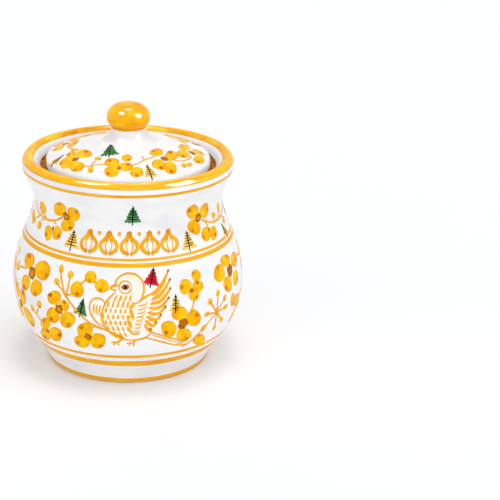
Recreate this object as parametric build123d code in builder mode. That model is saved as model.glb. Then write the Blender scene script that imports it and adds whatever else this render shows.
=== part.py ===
"""Glazed earthenware garlic keeper.

A thrown, big-bellied jar stands on a turned foot ring. A gallery is sunk into its rolled rim, and the
hollow, domed lid drops into that gallery and rests on an unglazed ledge. A ball knob, thrown apart and
luted on, sits on the lid's neck. Three round vents through the back of the shoulder let the bulbs
breathe.

Millimetres. +Z is up, the origin is the centre of the circle that the foot stands on, -Y is the front,
and the vents are at the back, towards +Y.
"""

import os
from math import cos, radians, sin, sqrt

from build123d import *

# ---- Jar: radii of its outer form ------------------------------------------------------------------
foot_radius = 52.9
belly_radius = 75.0
neck_radius = 60.6
rim_overhang = 7.3  # from the neck out to the rim's widest line
collar_flare = 2.8  # from the foot out to the top of its collar
underbelly_tuck = 9.7  # from the belly in to the underbelly
shoulder_swell = 5.4  # from the neck out to the shoulder
flare_inset = 3.1  # from the rim's widest line in to the flare below it

# ---- Jar: heights, each measured from the one before it --------------------------------------------
collar_rise = 7.6
underbelly_rise = 13.5
belly_rise = 31.4
shoulder_rise = 38.5
neck_rise = 18.3
flare_rise = 13.5
rim_rise = 9.8
crest_rise = 5.6

# ---- Jar: inside -----------------------------------------------------------------------------------
wall = 5.5
underbelly_wall = 7.4  # level thickness, where the wall gathers towards the foot
floor_thickness = 7.5
floor_radius = 28.0  # the flat middle of the floor
foot_ring_width = 8.0
foot_recess = 3.0
foot_edge_round = 0.9
recess_corner_round = 1.2

# ---- Rim and gallery -------------------------------------------------------------------------------
rim_width = 12.2  # from the widest line in to the gallery's wall
crest_inset = 3.6  # from the widest line in to the crest
lip_width = 4.2  # from the gallery's wall out to the rim's inner lip
lip_drop = 3.0  # from the crest down to the inner lip
gallery_depth = 8.2  # from the crest down to the ledge
ledge_width = 7.0
ledge_thickness = 4.0
ledge_root_depth = 12.5  # from the ledge down to where its underside runs into the neck
ledge_edge_round = 1.4

# ---- Vents, at the back ----------------------------------------------------------------------------
vent_diameter = 10.0
vent_mouth_round = 1.2
upper_vent_drop = 1.7  # from the neck's waist down to the upper vent
lower_vent_angle = 10.0  # degrees, to each side of the back
lower_vent_tilt = 20.0  # degrees, so that the bore is square to the shoulder
vent_bore_depth = 16.0  # to each side of the outer face

# ---- Lid -------------------------------------------------------------------------------------------
lid_gap = 3.2  # level gap all round between the lid and the gallery's wall
lid_edge_height = 6.0
lid_edge_round = 3.4
lid_dome_rise = 11.7  # from the top of the edge to the dome's peak
lid_thickness = 4.5
lid_seat_width = 7.0
lid_seat_round = 0.8
lid_hollow_round = 4.0
lid_hollow_land = 0.5  # least upright face between the hollow's round and the seat's round
lid_neck_spread = 17.0  # radius where the neck leaves the dome
lid_neck_radius = 11.0
lid_neck_rise = 8.1  # from the dome's peak to the joint with the knob

# ---- Knob ------------------------------------------------------------------------------------------
knob_radius = 13.9
knob_lower_height = 6.2  # from the joint up to the widest line
knob_upper_height = 9.1  # from the widest line up to the top
knob_shoulder_inset = 4.2  # from the widest line in to the knob's shoulder
knob_shoulder_drop = 2.2  # from the top down to the knob's shoulder

even_pull = (1, 1)  # end tangents as long as the curve's own, so that no curve overshoots


def ball_radius(rise: float, half_span: float) -> float:
    """Radius of the ball that a dome of this rise and half span is cut from."""
    return (half_span**2 + rise**2) / (2 * rise)


def level_on_ball(centre_height: float, radius: float, reach: float) -> float:
    """Height on the upper side of a ball, at this reach from the Z axis."""
    return centre_height + sqrt(radius**2 - reach**2)


def largest_round(radius: float, reach: float, rise: float) -> float:
    """Radius of the round inside a ball that touches it and an upright wall, and ends at this rise.

    The wall's reach is level, from the Z axis, and the rise is measured from the ball's centre.
    """
    return (radius**2 - reach**2 - rise**2) / (2 * (radius - reach))


def bore_plane(reach: float, height: float, turn: float, tilt: float) -> Plane:
    """Plane on the jar's outer face that looks out along a vent.

    The reach is level, from the Z axis. The turn in degrees is from the back, +Y, towards +X, and the
    tilt in degrees is upwards from level.
    """
    outward = Vector(sin(radians(turn)), cos(radians(turn)), 0)
    look = outward * cos(radians(tilt)) + Vector(0, 0, sin(radians(tilt)))
    return Plane(origin=outward * reach + Vector(0, 0, height), z_dir=look)


os.makedirs("parts", exist_ok=True)

# ==== JAR ===========================================================================================
collar_height = collar_rise
underbelly_height = collar_height + underbelly_rise
belly_height = underbelly_height + belly_rise
shoulder_height = belly_height + shoulder_rise
neck_height = shoulder_height + neck_rise
flare_height = neck_height + flare_rise
rim_height = flare_height + rim_rise
crest_height = rim_height + crest_rise
ledge_height = crest_height - gallery_depth

collar_radius = foot_radius + collar_flare
underbelly_radius = belly_radius - underbelly_tuck
shoulder_radius = neck_radius + shoulder_swell
rim_radius = neck_radius + rim_overhang
flare_radius = rim_radius - flare_inset
crest_radius = rim_radius - crest_inset
gallery_radius = rim_radius - rim_width
throat_radius = gallery_radius - ledge_width
recess_radius = foot_radius - foot_ring_width
floor_height = foot_recess + floor_thickness

with BuildPart() as jar:
    with BuildSketch(Plane.XZ) as jar_section:
        with BuildLine():
            outer_form = Spline(
                (foot_radius, 0),
                (collar_radius, collar_height),
                (underbelly_radius, underbelly_height),
                (belly_radius, belly_height),
                (shoulder_radius, shoulder_height),
                (neck_radius, neck_height),
                (flare_radius, flare_height),
                (rim_radius, rim_height),
                tangents=((0.25, 1), (0, 1)),
                tangent_scalars=even_pull,
            )
            rim_roll = Spline(
                outer_form @ 1,
                (crest_radius, crest_height),
                (gallery_radius + lip_width, crest_height - lip_drop),
                (gallery_radius, ledge_height),
                tangents=((0, 1), (-0.35, -1)),
                tangent_scalars=even_pull,
            )
            ledge = Polyline(
                rim_roll @ 1,
                (throat_radius, ledge_height),
                (throat_radius, ledge_height - ledge_thickness),
            )
            inner_form = Spline(
                ledge @ 1,
                (neck_radius - wall, ledge_height - ledge_root_depth),
                (neck_radius - wall, neck_height),
                (shoulder_radius - wall, shoulder_height),
                (belly_radius - wall, belly_height),
                (underbelly_radius - underbelly_wall, underbelly_height),
                (floor_radius, floor_height),
                tangents=((1.2, -1), (-1, 0)),
                tangent_scalars=even_pull,
            )
            Polyline(
                inner_form @ 1,
                (0, floor_height),
                (0, foot_recess),
                (recess_radius, foot_recess),
                (recess_radius, 0),
                outer_form @ 0,
            )
        make_face()
        fillet(jar_section.vertices().group_by(Axis.Y)[0], radius=foot_edge_round)
        recess_corner = jar_section.vertices().sort_by_distance((recess_radius, foot_recess))[0]
        fillet(recess_corner, radius=recess_corner_round)
        ledge_edge = jar_section.vertices().sort_by_distance((throat_radius, ledge_height))[0]
        fillet(ledge_edge, radius=ledge_edge_round)
    revolve(axis=Axis.Z)

    # The vents are bored from the back towards the jar's middle. The lower pair looks up a little.
    bores = [
        bore_plane(neck_radius, neck_height - upper_vent_drop, turn=0, tilt=0),
        bore_plane(shoulder_radius, shoulder_height, turn=lower_vent_angle, tilt=lower_vent_tilt),
        bore_plane(shoulder_radius, shoulder_height, turn=-lower_vent_angle, tilt=lower_vent_tilt),
    ]
    with Locations(*bores):
        Hole(radius=vent_diameter / 2, depth=vent_bore_depth)
    bored_rings = jar.edges(Select.LAST).filter_by(GeomType.LINE, reverse=True)
    vent_mouths = [bored_rings.sort_by_distance(bore.origin)[0] for bore in bores]
    fillet(vent_mouths, radius=vent_mouth_round)

jar.part.label = "jar"
export_step(jar.part, "parts/jar.step")

# ==== LID ===========================================================================================
lid_radius = gallery_radius - lid_gap
lid_edge_top = ledge_height + lid_edge_height
dome_peak = lid_edge_top + lid_dome_rise
dome_radius = ball_radius(lid_dome_rise, lid_radius)
dome_centre = dome_peak - dome_radius
hollow_radius = lid_radius - lid_seat_width
hollow_ball_radius = dome_radius - lid_thickness
joint_height = dome_peak + lid_neck_rise
neck_foot_height = level_on_ball(dome_centre, dome_radius, lid_neck_spread)
hollow_edge_height = level_on_ball(dome_centre, hollow_ball_radius, hollow_radius)
hollow_round_rise = ledge_height + lid_seat_round + lid_hollow_land - dome_centre
hollow_round = min(lid_hollow_round, largest_round(hollow_ball_radius, hollow_radius, hollow_round_rise))

with BuildPart() as lid:
    with BuildSketch(Plane.XZ) as lid_section:
        with BuildLine():
            edge = Polyline(
                (hollow_radius, hollow_edge_height),
                (hollow_radius, ledge_height),
                (lid_radius, ledge_height),
                (lid_radius, lid_edge_top),
            )
            dome = RadiusArc(edge @ 1, (lid_neck_spread, neck_foot_height), -dome_radius)
            lid_neck = Spline(
                dome @ 1,
                (lid_neck_radius, joint_height),
                tangents=((-1, 0.3), (0.12, 1)),
                tangent_scalars=even_pull,
            )
            Polyline(lid_neck @ 1, (0, joint_height), (0, dome_centre + hollow_ball_radius))
            RadiusArc((0, dome_centre + hollow_ball_radius), edge @ 0, hollow_ball_radius)
        make_face()
        edge_corner = lid_section.vertices().sort_by_distance((lid_radius, lid_edge_top))[0]
        fillet(edge_corner, radius=lid_edge_round)
        hollow_corner = lid_section.vertices().sort_by_distance((hollow_radius, hollow_edge_height))[0]
        fillet(hollow_corner, radius=hollow_round)
        fillet(lid_section.vertices().group_by(Axis.Y)[0], radius=lid_seat_round)
    revolve(axis=Axis.Z)

lid.part.label = "lid"
export_step(lid.part, "parts/lid.step")

# ==== KNOB ==========================================================================================
knob_widest_height = joint_height + knob_lower_height
knob_top = knob_widest_height + knob_upper_height

with BuildPart() as knob:
    with BuildSketch(Plane.XZ):
        with BuildLine():
            ball = Spline(
                (lid_neck_radius, joint_height),
                (knob_radius, knob_widest_height),
                (knob_radius - knob_shoulder_inset, knob_top - knob_shoulder_drop),
                (0, knob_top),
                tangents=((1.3, 1), (-1, 0)),
                tangent_scalars=even_pull,
            )
            Polyline(ball @ 1, (0, joint_height), ball @ 0)
        make_face()
    revolve(axis=Axis.Z)

knob.part.label = "knob"
export_step(knob.part, "parts/knob.step")
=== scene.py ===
"""Painted earthenware garlic keeper.

The jar, its lid and the knob are fired clay under a white or honey-yellow glaze, and the glaze holds the
bands. Everything else that is painted on them - petals, stems, firs, a bird and a row of garlic bulbs -
is a thin coat of colour of its own, laid on the glaze with a brush and following its curves.

Metres in the meshes; the sizes of the painting are written in millimetres. A "turn" is an angle in
degrees round the jar, from the front towards the right, and the vents are at a turn of 180.
"""
import logging
import math
import random
from bisect import bisect_left
from dataclasses import dataclass, field, replace
from enum import Enum
from functools import partial, reduce
from typing import Callable, Iterable, Sequence, Union

import bpy
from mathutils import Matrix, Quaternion, Vector


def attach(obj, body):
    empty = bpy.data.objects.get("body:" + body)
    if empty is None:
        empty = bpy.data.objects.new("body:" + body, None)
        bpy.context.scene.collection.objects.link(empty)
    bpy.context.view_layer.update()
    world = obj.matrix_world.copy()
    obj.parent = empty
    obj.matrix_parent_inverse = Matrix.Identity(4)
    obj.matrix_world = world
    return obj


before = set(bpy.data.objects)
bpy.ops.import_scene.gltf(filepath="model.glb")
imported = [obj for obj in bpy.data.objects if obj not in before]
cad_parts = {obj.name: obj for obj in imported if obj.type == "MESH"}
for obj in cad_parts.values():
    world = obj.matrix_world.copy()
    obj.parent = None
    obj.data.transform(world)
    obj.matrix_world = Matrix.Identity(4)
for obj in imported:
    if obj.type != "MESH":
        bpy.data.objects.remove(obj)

log = logging.getLogger("garlic_keeper")

MM = 0.001
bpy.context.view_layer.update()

Colour = tuple[float, float, float, float]
Point = tuple[float, float]


def srgb(red: float, green: float, blue: float) -> Colour:
    """Work out the linear light of a colour.

    Args:
        red: Its red part, from 0 to 255.
        green: Its green part.
        blue: Its blue part.

    Returns:
        The linear colour, which is opaque.
    """
    shares = (part / 255 for part in (red, green, blue))
    light = (share / 12.92 if share <= 0.04045 else ((share + 0.055) / 1.055) ** 2.4 for share in shares)
    return (*light, 1.0)


# ---- Shader maths ----


class Wire:
    """A value of a finish: the socket that gives it, ready to be used in sums."""

    def __init__(self, bench: "Bench", socket: bpy.types.NodeSocket) -> None:
        """Wrap one output socket of a bench."""
        self.bench = bench
        self.socket = socket

    def __add__(self, other: "Value") -> "Wire":
        """Sum."""
        return self.bench.maths("ADD", self, other)

    def __radd__(self, other: "Value") -> "Wire":
        """Sum with the number first."""
        return self.bench.maths("ADD", other, self)

    def __sub__(self, other: "Value") -> "Wire":
        """Difference."""
        return self.bench.maths("SUBTRACT", self, other)

    def __rsub__(self, other: "Value") -> "Wire":
        """Difference with the number first."""
        return self.bench.maths("SUBTRACT", other, self)

    def __mul__(self, other: "Value") -> "Wire":
        """Product."""
        return self.bench.maths("MULTIPLY", self, other)

    def __truediv__(self, other: "Value") -> "Wire":
        """Quotient."""
        return self.bench.maths("DIVIDE", self, other)


Value = Union[Wire, float, Sequence[float]]


class Bench:
    """A node tree, with one short way to each kind of node."""

    def __init__(self, tree: bpy.types.NodeTree) -> None:
        """Clear the tree for new nodes."""
        self.tree = tree
        tree.nodes.clear()

    def node(self, kind: str, settings: dict | None = None, values: dict | None = None) -> bpy.types.Node:
        """Add one node.

        Args:
            kind: Blender's name of the node's type.
            settings: Properties that are set before any socket. "stops" gives a ramp's stops.
            values: What each input socket gets, by its name or number.

        Returns:
            The new node.
        """
        node = self.tree.nodes.new(kind)
        for name, setting in (settings or {}).items():
            if name == "stops":
                self._stops(node.color_ramp, setting)
            else:
                setattr(node, name, setting)
        for name, value in (values or {}).items():
            if isinstance(value, Wire):
                self.tree.links.new(value.socket, node.inputs[name])
            else:
                node.inputs[name].default_value = value
        return node

    @staticmethod
    def _stops(ramp: bpy.types.ColorRamp, stops: Sequence[Point]) -> None:
        """Give a ramp its grey stops.

        Args:
            ramp: The ramp.
            stops: Place and level of each stop.
        """
        while len(ramp.elements) < len(stops):
            ramp.elements.new(1.0)
        for element, (place, level) in zip(ramp.elements, stops):
            element.position = place
            element.color = (level, level, level, 1.0)

    def wire(self, kind: str, settings: dict | None, values: dict | None, output: int | str = 0) -> Wire:
        """Add one node and give one of its outputs."""
        return Wire(self, self.node(kind, settings, values).outputs[output])

    def maths(self, operation: str, first: Value, second: Value = 0.0) -> Wire:
        """One sum on numbers."""
        return self.wire("ShaderNodeMath", {"operation": operation}, {0: first, 1: second})

    def most(self, *values: Value) -> Wire:
        """Largest of some numbers."""
        return reduce(partial(self.maths, "MAXIMUM"), values)

    def least(self, *values: Value) -> Wire:
        """Smallest of some numbers."""
        return reduce(partial(self.maths, "MINIMUM"), values)

    def size(self, value: Value) -> Wire:
        """Number without its sign."""
        return self.maths("ABSOLUTE", value)

    def reach(self, x: Wire, y: Wire) -> Wire:
        """Length of the sloping side over two square ones."""
        return self.maths("SQRT", x * x + y * y)

    def arrow(self, operation: str, first: Value, second: Value) -> Wire:
        """One sum on vectors that gives a vector."""
        return self.wire("ShaderNodeVectorMath", {"operation": operation}, {0: first, 1: second}, "Vector")

    def length(self, vector: Value) -> Wire:
        """Length of a vector."""
        return self.wire("ShaderNodeVectorMath", {"operation": "LENGTH"}, {0: vector}, "Value")

    def step(self, value: Value, start: float, end: float) -> Wire:
        """Step smoothly from 0 to 1.

        Args:
            value: What is measured.
            start: Where the step is 0.
            end: Where it is 1.

        Returns:
            The step.
        """
        settings = {"interpolation_type": "SMOOTHSTEP"}
        values = {"Value": value, "From Min": min(start, end), "From Max": max(start, end)}
        wire = self.wire("ShaderNodeMapRange", settings, values)
        return wire if start < end else 1.0 - wire

    def ramp(self, value: Value, stops: Sequence[Point]) -> Wire:
        """Level of a ramp of grey stops at a value."""
        return self.wire("ShaderNodeValToRGB", {"stops": stops}, {"Fac": value}, "Color")

    def blend(self, share: Value, under: Value, over: Value) -> Wire:
        """Lay one colour over another by a share from 0 to 1."""
        return self.wire("ShaderNodeMix", {"data_type": "RGBA"}, {0: share, 6: under, 7: over}, 2)

    def tint(
        self, under: Value, over: Value, value: Wire, start: float, end: float, share: Value = 1.0
    ) -> Wire:
        """Lay one colour over another where a value runs from a start to an end.

        Args:
            under: The lower colour.
            over: The upper colour.
            value: The value that says where.
            start: Where the upper colour is nothing.
            end: Where it is full.
            share: How much of it is laid where it is full.

        Returns:
            The mixed colour.
        """
        return self.blend(self.step(value, start, end) * share, under, over)

    def join(self, first: Value, second: Value, third: Value) -> Wire:
        """Make a vector of three numbers."""
        return self.wire("ShaderNodeCombineXYZ", None, {0: first, 1: second, 2: third})

    def split(self, vector: Wire) -> tuple[Wire, ...]:
        """Take the three numbers of a vector."""
        parts = self.node("ShaderNodeSeparateXYZ", None, {0: vector}).outputs
        return tuple(Wire(self, part) for part in parts)

    def noise(self, place: Value, scale: float, detail: float = 2.0, roughness: float = 0.5) -> Wire:
        """Cloudy noise from 0 to 1 at a place."""
        values = {"Vector": place, "Scale": scale, "Detail": detail, "Roughness": roughness}
        return self.wire("ShaderNodeTexNoise", None, values)

    def object_place(self) -> Wire:
        """Coordinates of the object itself."""
        return self.wire("ShaderNodeTexCoord", None, None, "Object")

    def seen(self) -> Wire:
        """Find the light that comes straight, or by a mirror or a clear body, to the camera.

        Returns:
            1 for that light and 0 for any other.
        """
        paths = self.node("ShaderNodeLightPath").outputs
        rays = ("Is Camera Ray", "Is Glossy Ray", "Is Transmission Ray")
        return self.most(*(Wire(self, paths[ray]) for ray in rays))


def new_material(name: str) -> tuple[bpy.types.Material, Bench]:
    """Make an empty material.

    Args:
        name: Its name.

    Returns:
        The material, and the bench of its nodes.
    """
    material = bpy.data.materials.new(name)
    material.use_nodes = True
    return material, Bench(material.node_tree)


# ---- Glazes ----

WHITE = srgb(246, 247, 249)
COOL_WHITE = srgb(233, 235, 240)
# Painted shade on the white glaze: in the rim's gallery and round the knob's neck.
PAINTED_SHADE_GREY = srgb(206, 208, 212)
GOLD = srgb(252, 184, 0)
PALE_GOLD = srgb(255, 214, 40)
AMBER = srgb(234, 152, 0)
UMBER = srgb(196, 112, 0)
CLAY = srgb(190, 114, 30)
DARK_CLAY = srgb(126, 70, 22)
HONEY = srgb(70, 58, 42)
THIN_GLAZE_AND_SHADE_GREY = srgb(168, 160, 152)


@dataclass(frozen=True)
class Gloss:
    """How a fired glaze shines."""

    roughness: float = 0.3
    specular: float = 0.02
    coat: float = 0.08
    coat_roughness: float = 0.05
    thick_coat: float = 0.35  # where the glaze lies thick
    bare_roughness: float = 0.8  # of clay without glaze
    wave: float = 0.11  # depth of the hand-thrown waves, in mm

    @staticmethod
    def relief(bench: Bench, place: Wire) -> Wire:
        """Make the waves and turning rings of a thrown wall under its glaze.

        Args:
            bench: The bench of the finish.
            place: The point on the piece.

        Returns:
            Their height, from 0 to 1.
        """
        x, y, z = bench.split(place)
        dents = bench.noise(place, 26.0, 1.0)
        rings = bench.noise(bench.join(x * 4.0, y * 4.0, z), 95.0, 1.0)
        return dents * 0.6 + rings * 0.4

    def dress(self, bench: Bench, colour: Value, place: Wire, dull: Value = 0.0, thick: Value = 0.0) -> None:
        """Close a material with the glaze's shader.

        Args:
            bench: The finish's node tree.
            colour: Colour of the surface.
            place: Object coordinates.
            dull: Share of the surface that is bare clay and doesn't shine.
            thick: Share of the surface where the glaze lies thick and shines most.
        """
        bump = {"Strength": 1.0, "Distance": self.wave * MM, "Height": self.relief(bench, place)}
        values = {
            "Base Color": colour,
            "Roughness": self.roughness,
            "Coat Weight": self.coat,
            "Coat Roughness": self.coat_roughness,
            "IOR": 1.5,
            "Specular IOR Level": self.specular,
            "Normal": bench.wire("ShaderNodeBump", None, bump),
        }
        if isinstance(dull, Wire):
            values["Roughness"] = self.roughness + dull * (self.bare_roughness - self.roughness)
            values["Coat Weight"] = (1.0 - dull) * self.coat
        if isinstance(thick, Wire):
            values["Coat Weight"] = (1.0 - dull) * (self.coat + thick * (self.thick_coat - self.coat))
        shader = bench.wire("ShaderNodeBsdfPrincipled", None, values)
        bench.node("ShaderNodeOutputMaterial", None, {"Surface": shader})


@dataclass(frozen=True)
class Ring:
    """Coordinates of a turned piece, as sockets. Millimetres in height and reach, metres elsewhere."""

    place: Wire
    x: Wire
    y: Wire
    height: Wire
    reach: Wire
    round: Wire  # a vector that goes round with the piece, for streaks along the brush's way

    @staticmethod
    def of(bench: Bench) -> "Ring":
        """Read a turned piece's coordinates.

        Args:
            bench: The bench to read them on.

        Returns:
            The coordinates.
        """
        place = bench.object_place()
        x, y, z = bench.split(place)
        reach = bench.reach(x, y)
        far = reach + 0.0001
        height = z * (1 / MM)
        way = bench.join(x / far, y / far, height * 0.28 - reach * 280.0)
        return Ring(place, x, y, height, reach * (1 / MM), way)

    def drawn_out(self, bench: Bench, run: Wire) -> Wire:
        """Place that is squeezed level, so that noise on it is drawn out round the piece."""
        return bench.join(self.x * 0.35, self.y * 0.35, run * MM)

    def white(self, bench: Bench, run: Wire) -> tuple[Wire, Wire]:
        """White glaze with cooler, hazy streaks, and the haze itself."""
        haze = bench.noise(self.drawn_out(bench, run), 70.0, 3.0)
        return bench.tint(WHITE, COOL_WHITE, haze, 0.4, 0.75), haze

    def clay(self, bench: Bench) -> tuple[Wire, Wire]:
        """Bare red clay with dark specks, and the specks themselves."""
        speckle = bench.noise(self.place, 420.0, 3.0)
        return bench.tint(CLAY, DARK_CLAY, speckle, 0.35, 0.7), speckle


@dataclass(frozen=True)
class Band:
    """A line that the brush leaves on the turning jar. Millimetres and degrees."""

    height: float
    width: float
    reach: float  # the band is only where the surface is further out than this
    gap: float = 0.0  # half of the break in it at the back, for the vents

    def masks(self, bench: Bench, ring: Ring, sway: Wire) -> tuple[Wire, Wire]:
        """Mask of the band, and share of pooled colour along its edges.

        Args:
            bench: The finish's node tree.
            ring: The jar's coordinates.
            sway: How far the brush strays up or down, in millimetres.

        Returns:
            The band's mask and its edges' mask.
        """
        half, blur = self.width / 2, 0.14
        off = bench.size(ring.height - self.height + sway * 0.35)
        if self.gap:
            turn = bench.size(bench.maths("ARCTAN2", ring.x, ring.y))
            off = bench.reach(off, bench.most(math.radians(self.gap) - turn, 0.0) * ring.reach)
        mask = bench.step(off - sway * 0.3, half + blur, half - blur)
        mask = mask * bench.step(ring.reach, self.reach - 0.4, self.reach)
        return mask, bench.step(off, half * 0.35, half) * 0.6


@dataclass(frozen=True)
class Vent:
    """A bore through the jar's wall. Millimetres, and degrees from the back and up from level."""

    turn: float
    reach: float
    height: float
    tilt: float = 0.0

    def away(self, bench: Bench, place: Wire) -> Wire:
        """Distance of a place from the bore's middle line.

        Args:
            bench: The finish's node tree.
            place: The place, in metres.

        Returns:
            The distance, in millimetres.
        """
        right, back = math.sin(math.radians(self.turn)), math.cos(math.radians(self.turn))
        level, rise = math.cos(math.radians(self.tilt)), math.sin(math.radians(self.tilt))
        mouth = (right * self.reach * MM, back * self.reach * MM, self.height * MM)
        offset = bench.arrow("SUBTRACT", place, mouth)
        look = (right * level, back * level, rise)
        return bench.length(bench.arrow("CROSS_PRODUCT", offset, look)) * (1 / MM)


@dataclass(frozen=True)
class JarGlaze:
    """White tin glaze with honey-yellow bands, over a red body that shows at the foot and ledge.

    Millimetres. The inside has a clear glaze, which looks brown on the red body.
    """

    gloss: Gloss = Gloss()
    bands: tuple[Band, ...] = (
        Band(130.4, 1.9, 62.0),
        Band(89.4, 1.5, 63.8, gap=18.0),
        Band(86.2, 2.5, 63.8, gap=16.5),
        Band(24.9, 2.3, 60.0),
        Band(18.0, 5.0, 58.0),
        Band(2.2, 2.8, 50.0),
    )
    rim_from: float = 134.3  # the broad band over the rim starts at this height
    rim_reach: float = 60.1  # and ends at this reach
    ledge: float = 130.0
    gallery: float = 57.6
    shade_from: float = 60.0  # painted shade: the gallery's white is greyer from here
    shade_to: float = 57.5  # in to here
    foot_edge: float = 0.55  # the clay is bare below this height
    recess: float = 47.0  # and in the recess under the foot, which is this wide
    recess_top: float = 6.0  # and well below this height
    vents: tuple[Vent, ...] = (
        Vent(0.0, 60.6, 107.6),
        Vent(10.0, 66.0, 91.0, 20.0),
        Vent(-10.0, 66.0, 91.0, 20.0),
    )
    vents_from: float = 20.0  # they are all further back than this
    bore: float = 5.0
    mouth: float = 7.3  # thinner glaze and painted shade grey the white out to here round each vent
    upper: float = 99.0  # above here, all that lies within the throat's reach is inside
    # The middle of the wall, below the throat: its reach at each height, both in tenths of a metre.
    wall: tuple[Point, ...] = (
        (0.088, 0.0), (0.09, 0.48), (0.16, 0.58), (0.25, 0.645), (0.4, 0.706), (0.53, 0.723),
        (0.7, 0.702), (0.91, 0.633), (1.0, 0.588),
    )

    def material(self) -> bpy.types.Material:
        """Make the jar's material.

        Returns:
            The material.
        """
        material, bench = new_material("jar_white_glaze")
        ring = Ring.of(bench)
        sway = (bench.noise(ring.round, 0.9, 1.0) - 0.5) * 1.1
        colour, _ = ring.white(bench, ring.height)
        # Painted shade: the sunken wall of the gallery, above the ledge, is greyed.
        gallery_shade = bench.step(ring.reach, self.shade_from, self.shade_to)
        colour = bench.tint(colour, PAINTED_SHADE_GREY, ring.height, self.ledge, self.ledge + 1.0, gallery_shade * 0.55)
        gold = self._gold(bench, ring)
        for band in self.bands:
            mask, edge = band.masks(bench, ring, sway)
            colour = bench.blend(mask, colour, bench.blend(edge, bench.blend(0.35, gold, AMBER), AMBER))
        rim, edge = self._rim(bench, ring, sway)
        colour = bench.blend(rim, colour, bench.blend(edge, gold, AMBER))
        clay, speckle = ring.clay(bench)
        away = self._away(bench, ring)
        # Grey ring round each vent's mouth: partly thinner glaze, partly painted shade at the rounded mouth.
        ragged = away + bench.noise(ring.place, 300.0, 2.0) * 0.8
        colour = bench.tint(colour, THIN_GLAZE_AND_SHADE_GREY, ragged, self.mouth, self.bore + 0.5, 0.8)
        brown = bench.blend(speckle * 0.35, HONEY, DARK_CLAY)
        colour = bench.blend(self._inside(bench, ring, away), colour, brown)
        bare = self._bare(bench, ring)
        self.gloss.dress(bench, bench.blend(bare, colour, clay), ring.place, bare, rim)
        return material

    @staticmethod
    def _gold(bench: Bench, ring: Ring) -> Wire:
        """Make the yellow that the brush laid in streaks, and that pooled here and there.

        Args:
            bench: The bench of the finish.
            ring: Where a point is on the piece.

        Returns:
            Its colour.
        """
        streaks = bench.noise(ring.round, 3.2, 3.0, 0.6)
        pooled = bench.noise(ring.round, 1.3, 2.0)
        fine = bench.noise(bench.arrow("MULTIPLY", ring.round, (1.0, 1.0, 2.2)), 2.6, 3.0, 0.7)
        gold = bench.tint(GOLD, PALE_GOLD, streaks, 0.46, 0.62)
        gold = bench.tint(gold, AMBER, fine, 0.5, 0.36, 0.75)
        gold = bench.tint(gold, AMBER, pooled, 0.52, 0.7, 0.75)
        return bench.tint(gold, UMBER, fine, 0.38, 0.28, 0.7)

    def _rim(self, bench: Bench, ring: Ring, sway: Wire) -> tuple[Wire, Wire]:
        """Mask the broad band over the rolled rim.

        Args:
            bench: The bench of the finish.
            ring: Where a point is on the piece.
            sway: How far the brush strayed here.

        Returns:
            The band's mask, and the mask of its pooled edges.
        """
        lower = ring.height - self.rim_from + sway * 0.5
        inner = ring.reach - self.rim_reach + sway * 0.4
        depth = bench.least(lower, inner)
        return bench.step(depth, -0.15, 0.2), bench.step(depth, 1.6, 0.1) * 0.75

    def _bare(self, bench: Bench, ring: Ring) -> Wire:
        """Mask the bare clay: the ledge, the foot's edge and the recess under it.

        Args:
            bench: The bench of the finish.
            ring: Where a point is on the piece.

        Returns:
            The mask.
        """
        ragged = (bench.noise(ring.place, 130.0, 2.0) - 0.5) * 1.1
        seat = bench.step(ring.height + ragged, self.ledge + 1.5, self.ledge + 0.9)
        seat = seat * bench.step(ring.height, self.ledge - 4.4, self.ledge - 3.9)
        seat = seat * bench.step(ring.reach, self.gallery + 0.3, self.gallery)
        under = bench.step(ring.height, self.foot_edge, self.foot_edge - 0.15)
        recess = bench.step(ring.reach, self.recess, self.recess - 0.5)
        recess = recess * bench.step(ring.height, self.recess_top, self.recess_top - 0.5)
        return bench.most(seat, under, recess)

    def _inside(self, bench: Bench, ring: Ring, away: Wire) -> Wire:
        """Mask of the clear-glazed inside and of the vents' bores.

        Args:
            bench: The finish's node tree.
            ring: The jar's coordinates.
            away: Distance from the nearest vent's middle line.

        Returns:
            The mask. Its parts overlap a little, so that no line of white is left between them.
        """
        past = ring.reach * 0.01 - bench.ramp(ring.height * 0.01, self.wall)
        below = bench.step(past, 0.002, -0.002) * bench.step(ring.height, self.upper + 1.0, self.upper + 0.5)
        throat = bench.step(ring.reach, self.gallery + 0.4, self.gallery)
        upper = throat * bench.step(ring.height, self.upper - 0.5, self.upper)
        inside = bench.most(below, upper) * bench.step(ring.height, self.ledge - 2.0, self.ledge - 2.4)
        return bench.most(inside, bench.step(away, self.bore + 0.14, self.bore))

    def _away(self, bench: Bench, ring: Ring) -> Wire:
        """Distance from the nearest vent's middle line, in millimetres, and far off at the front."""
        front = bench.step(ring.y, (self.vents_from + 1.0) * MM, self.vents_from * MM)
        return bench.least(*(vent.away(bench, ring.place) for vent in self.vents)) + front * 100.0


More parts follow.
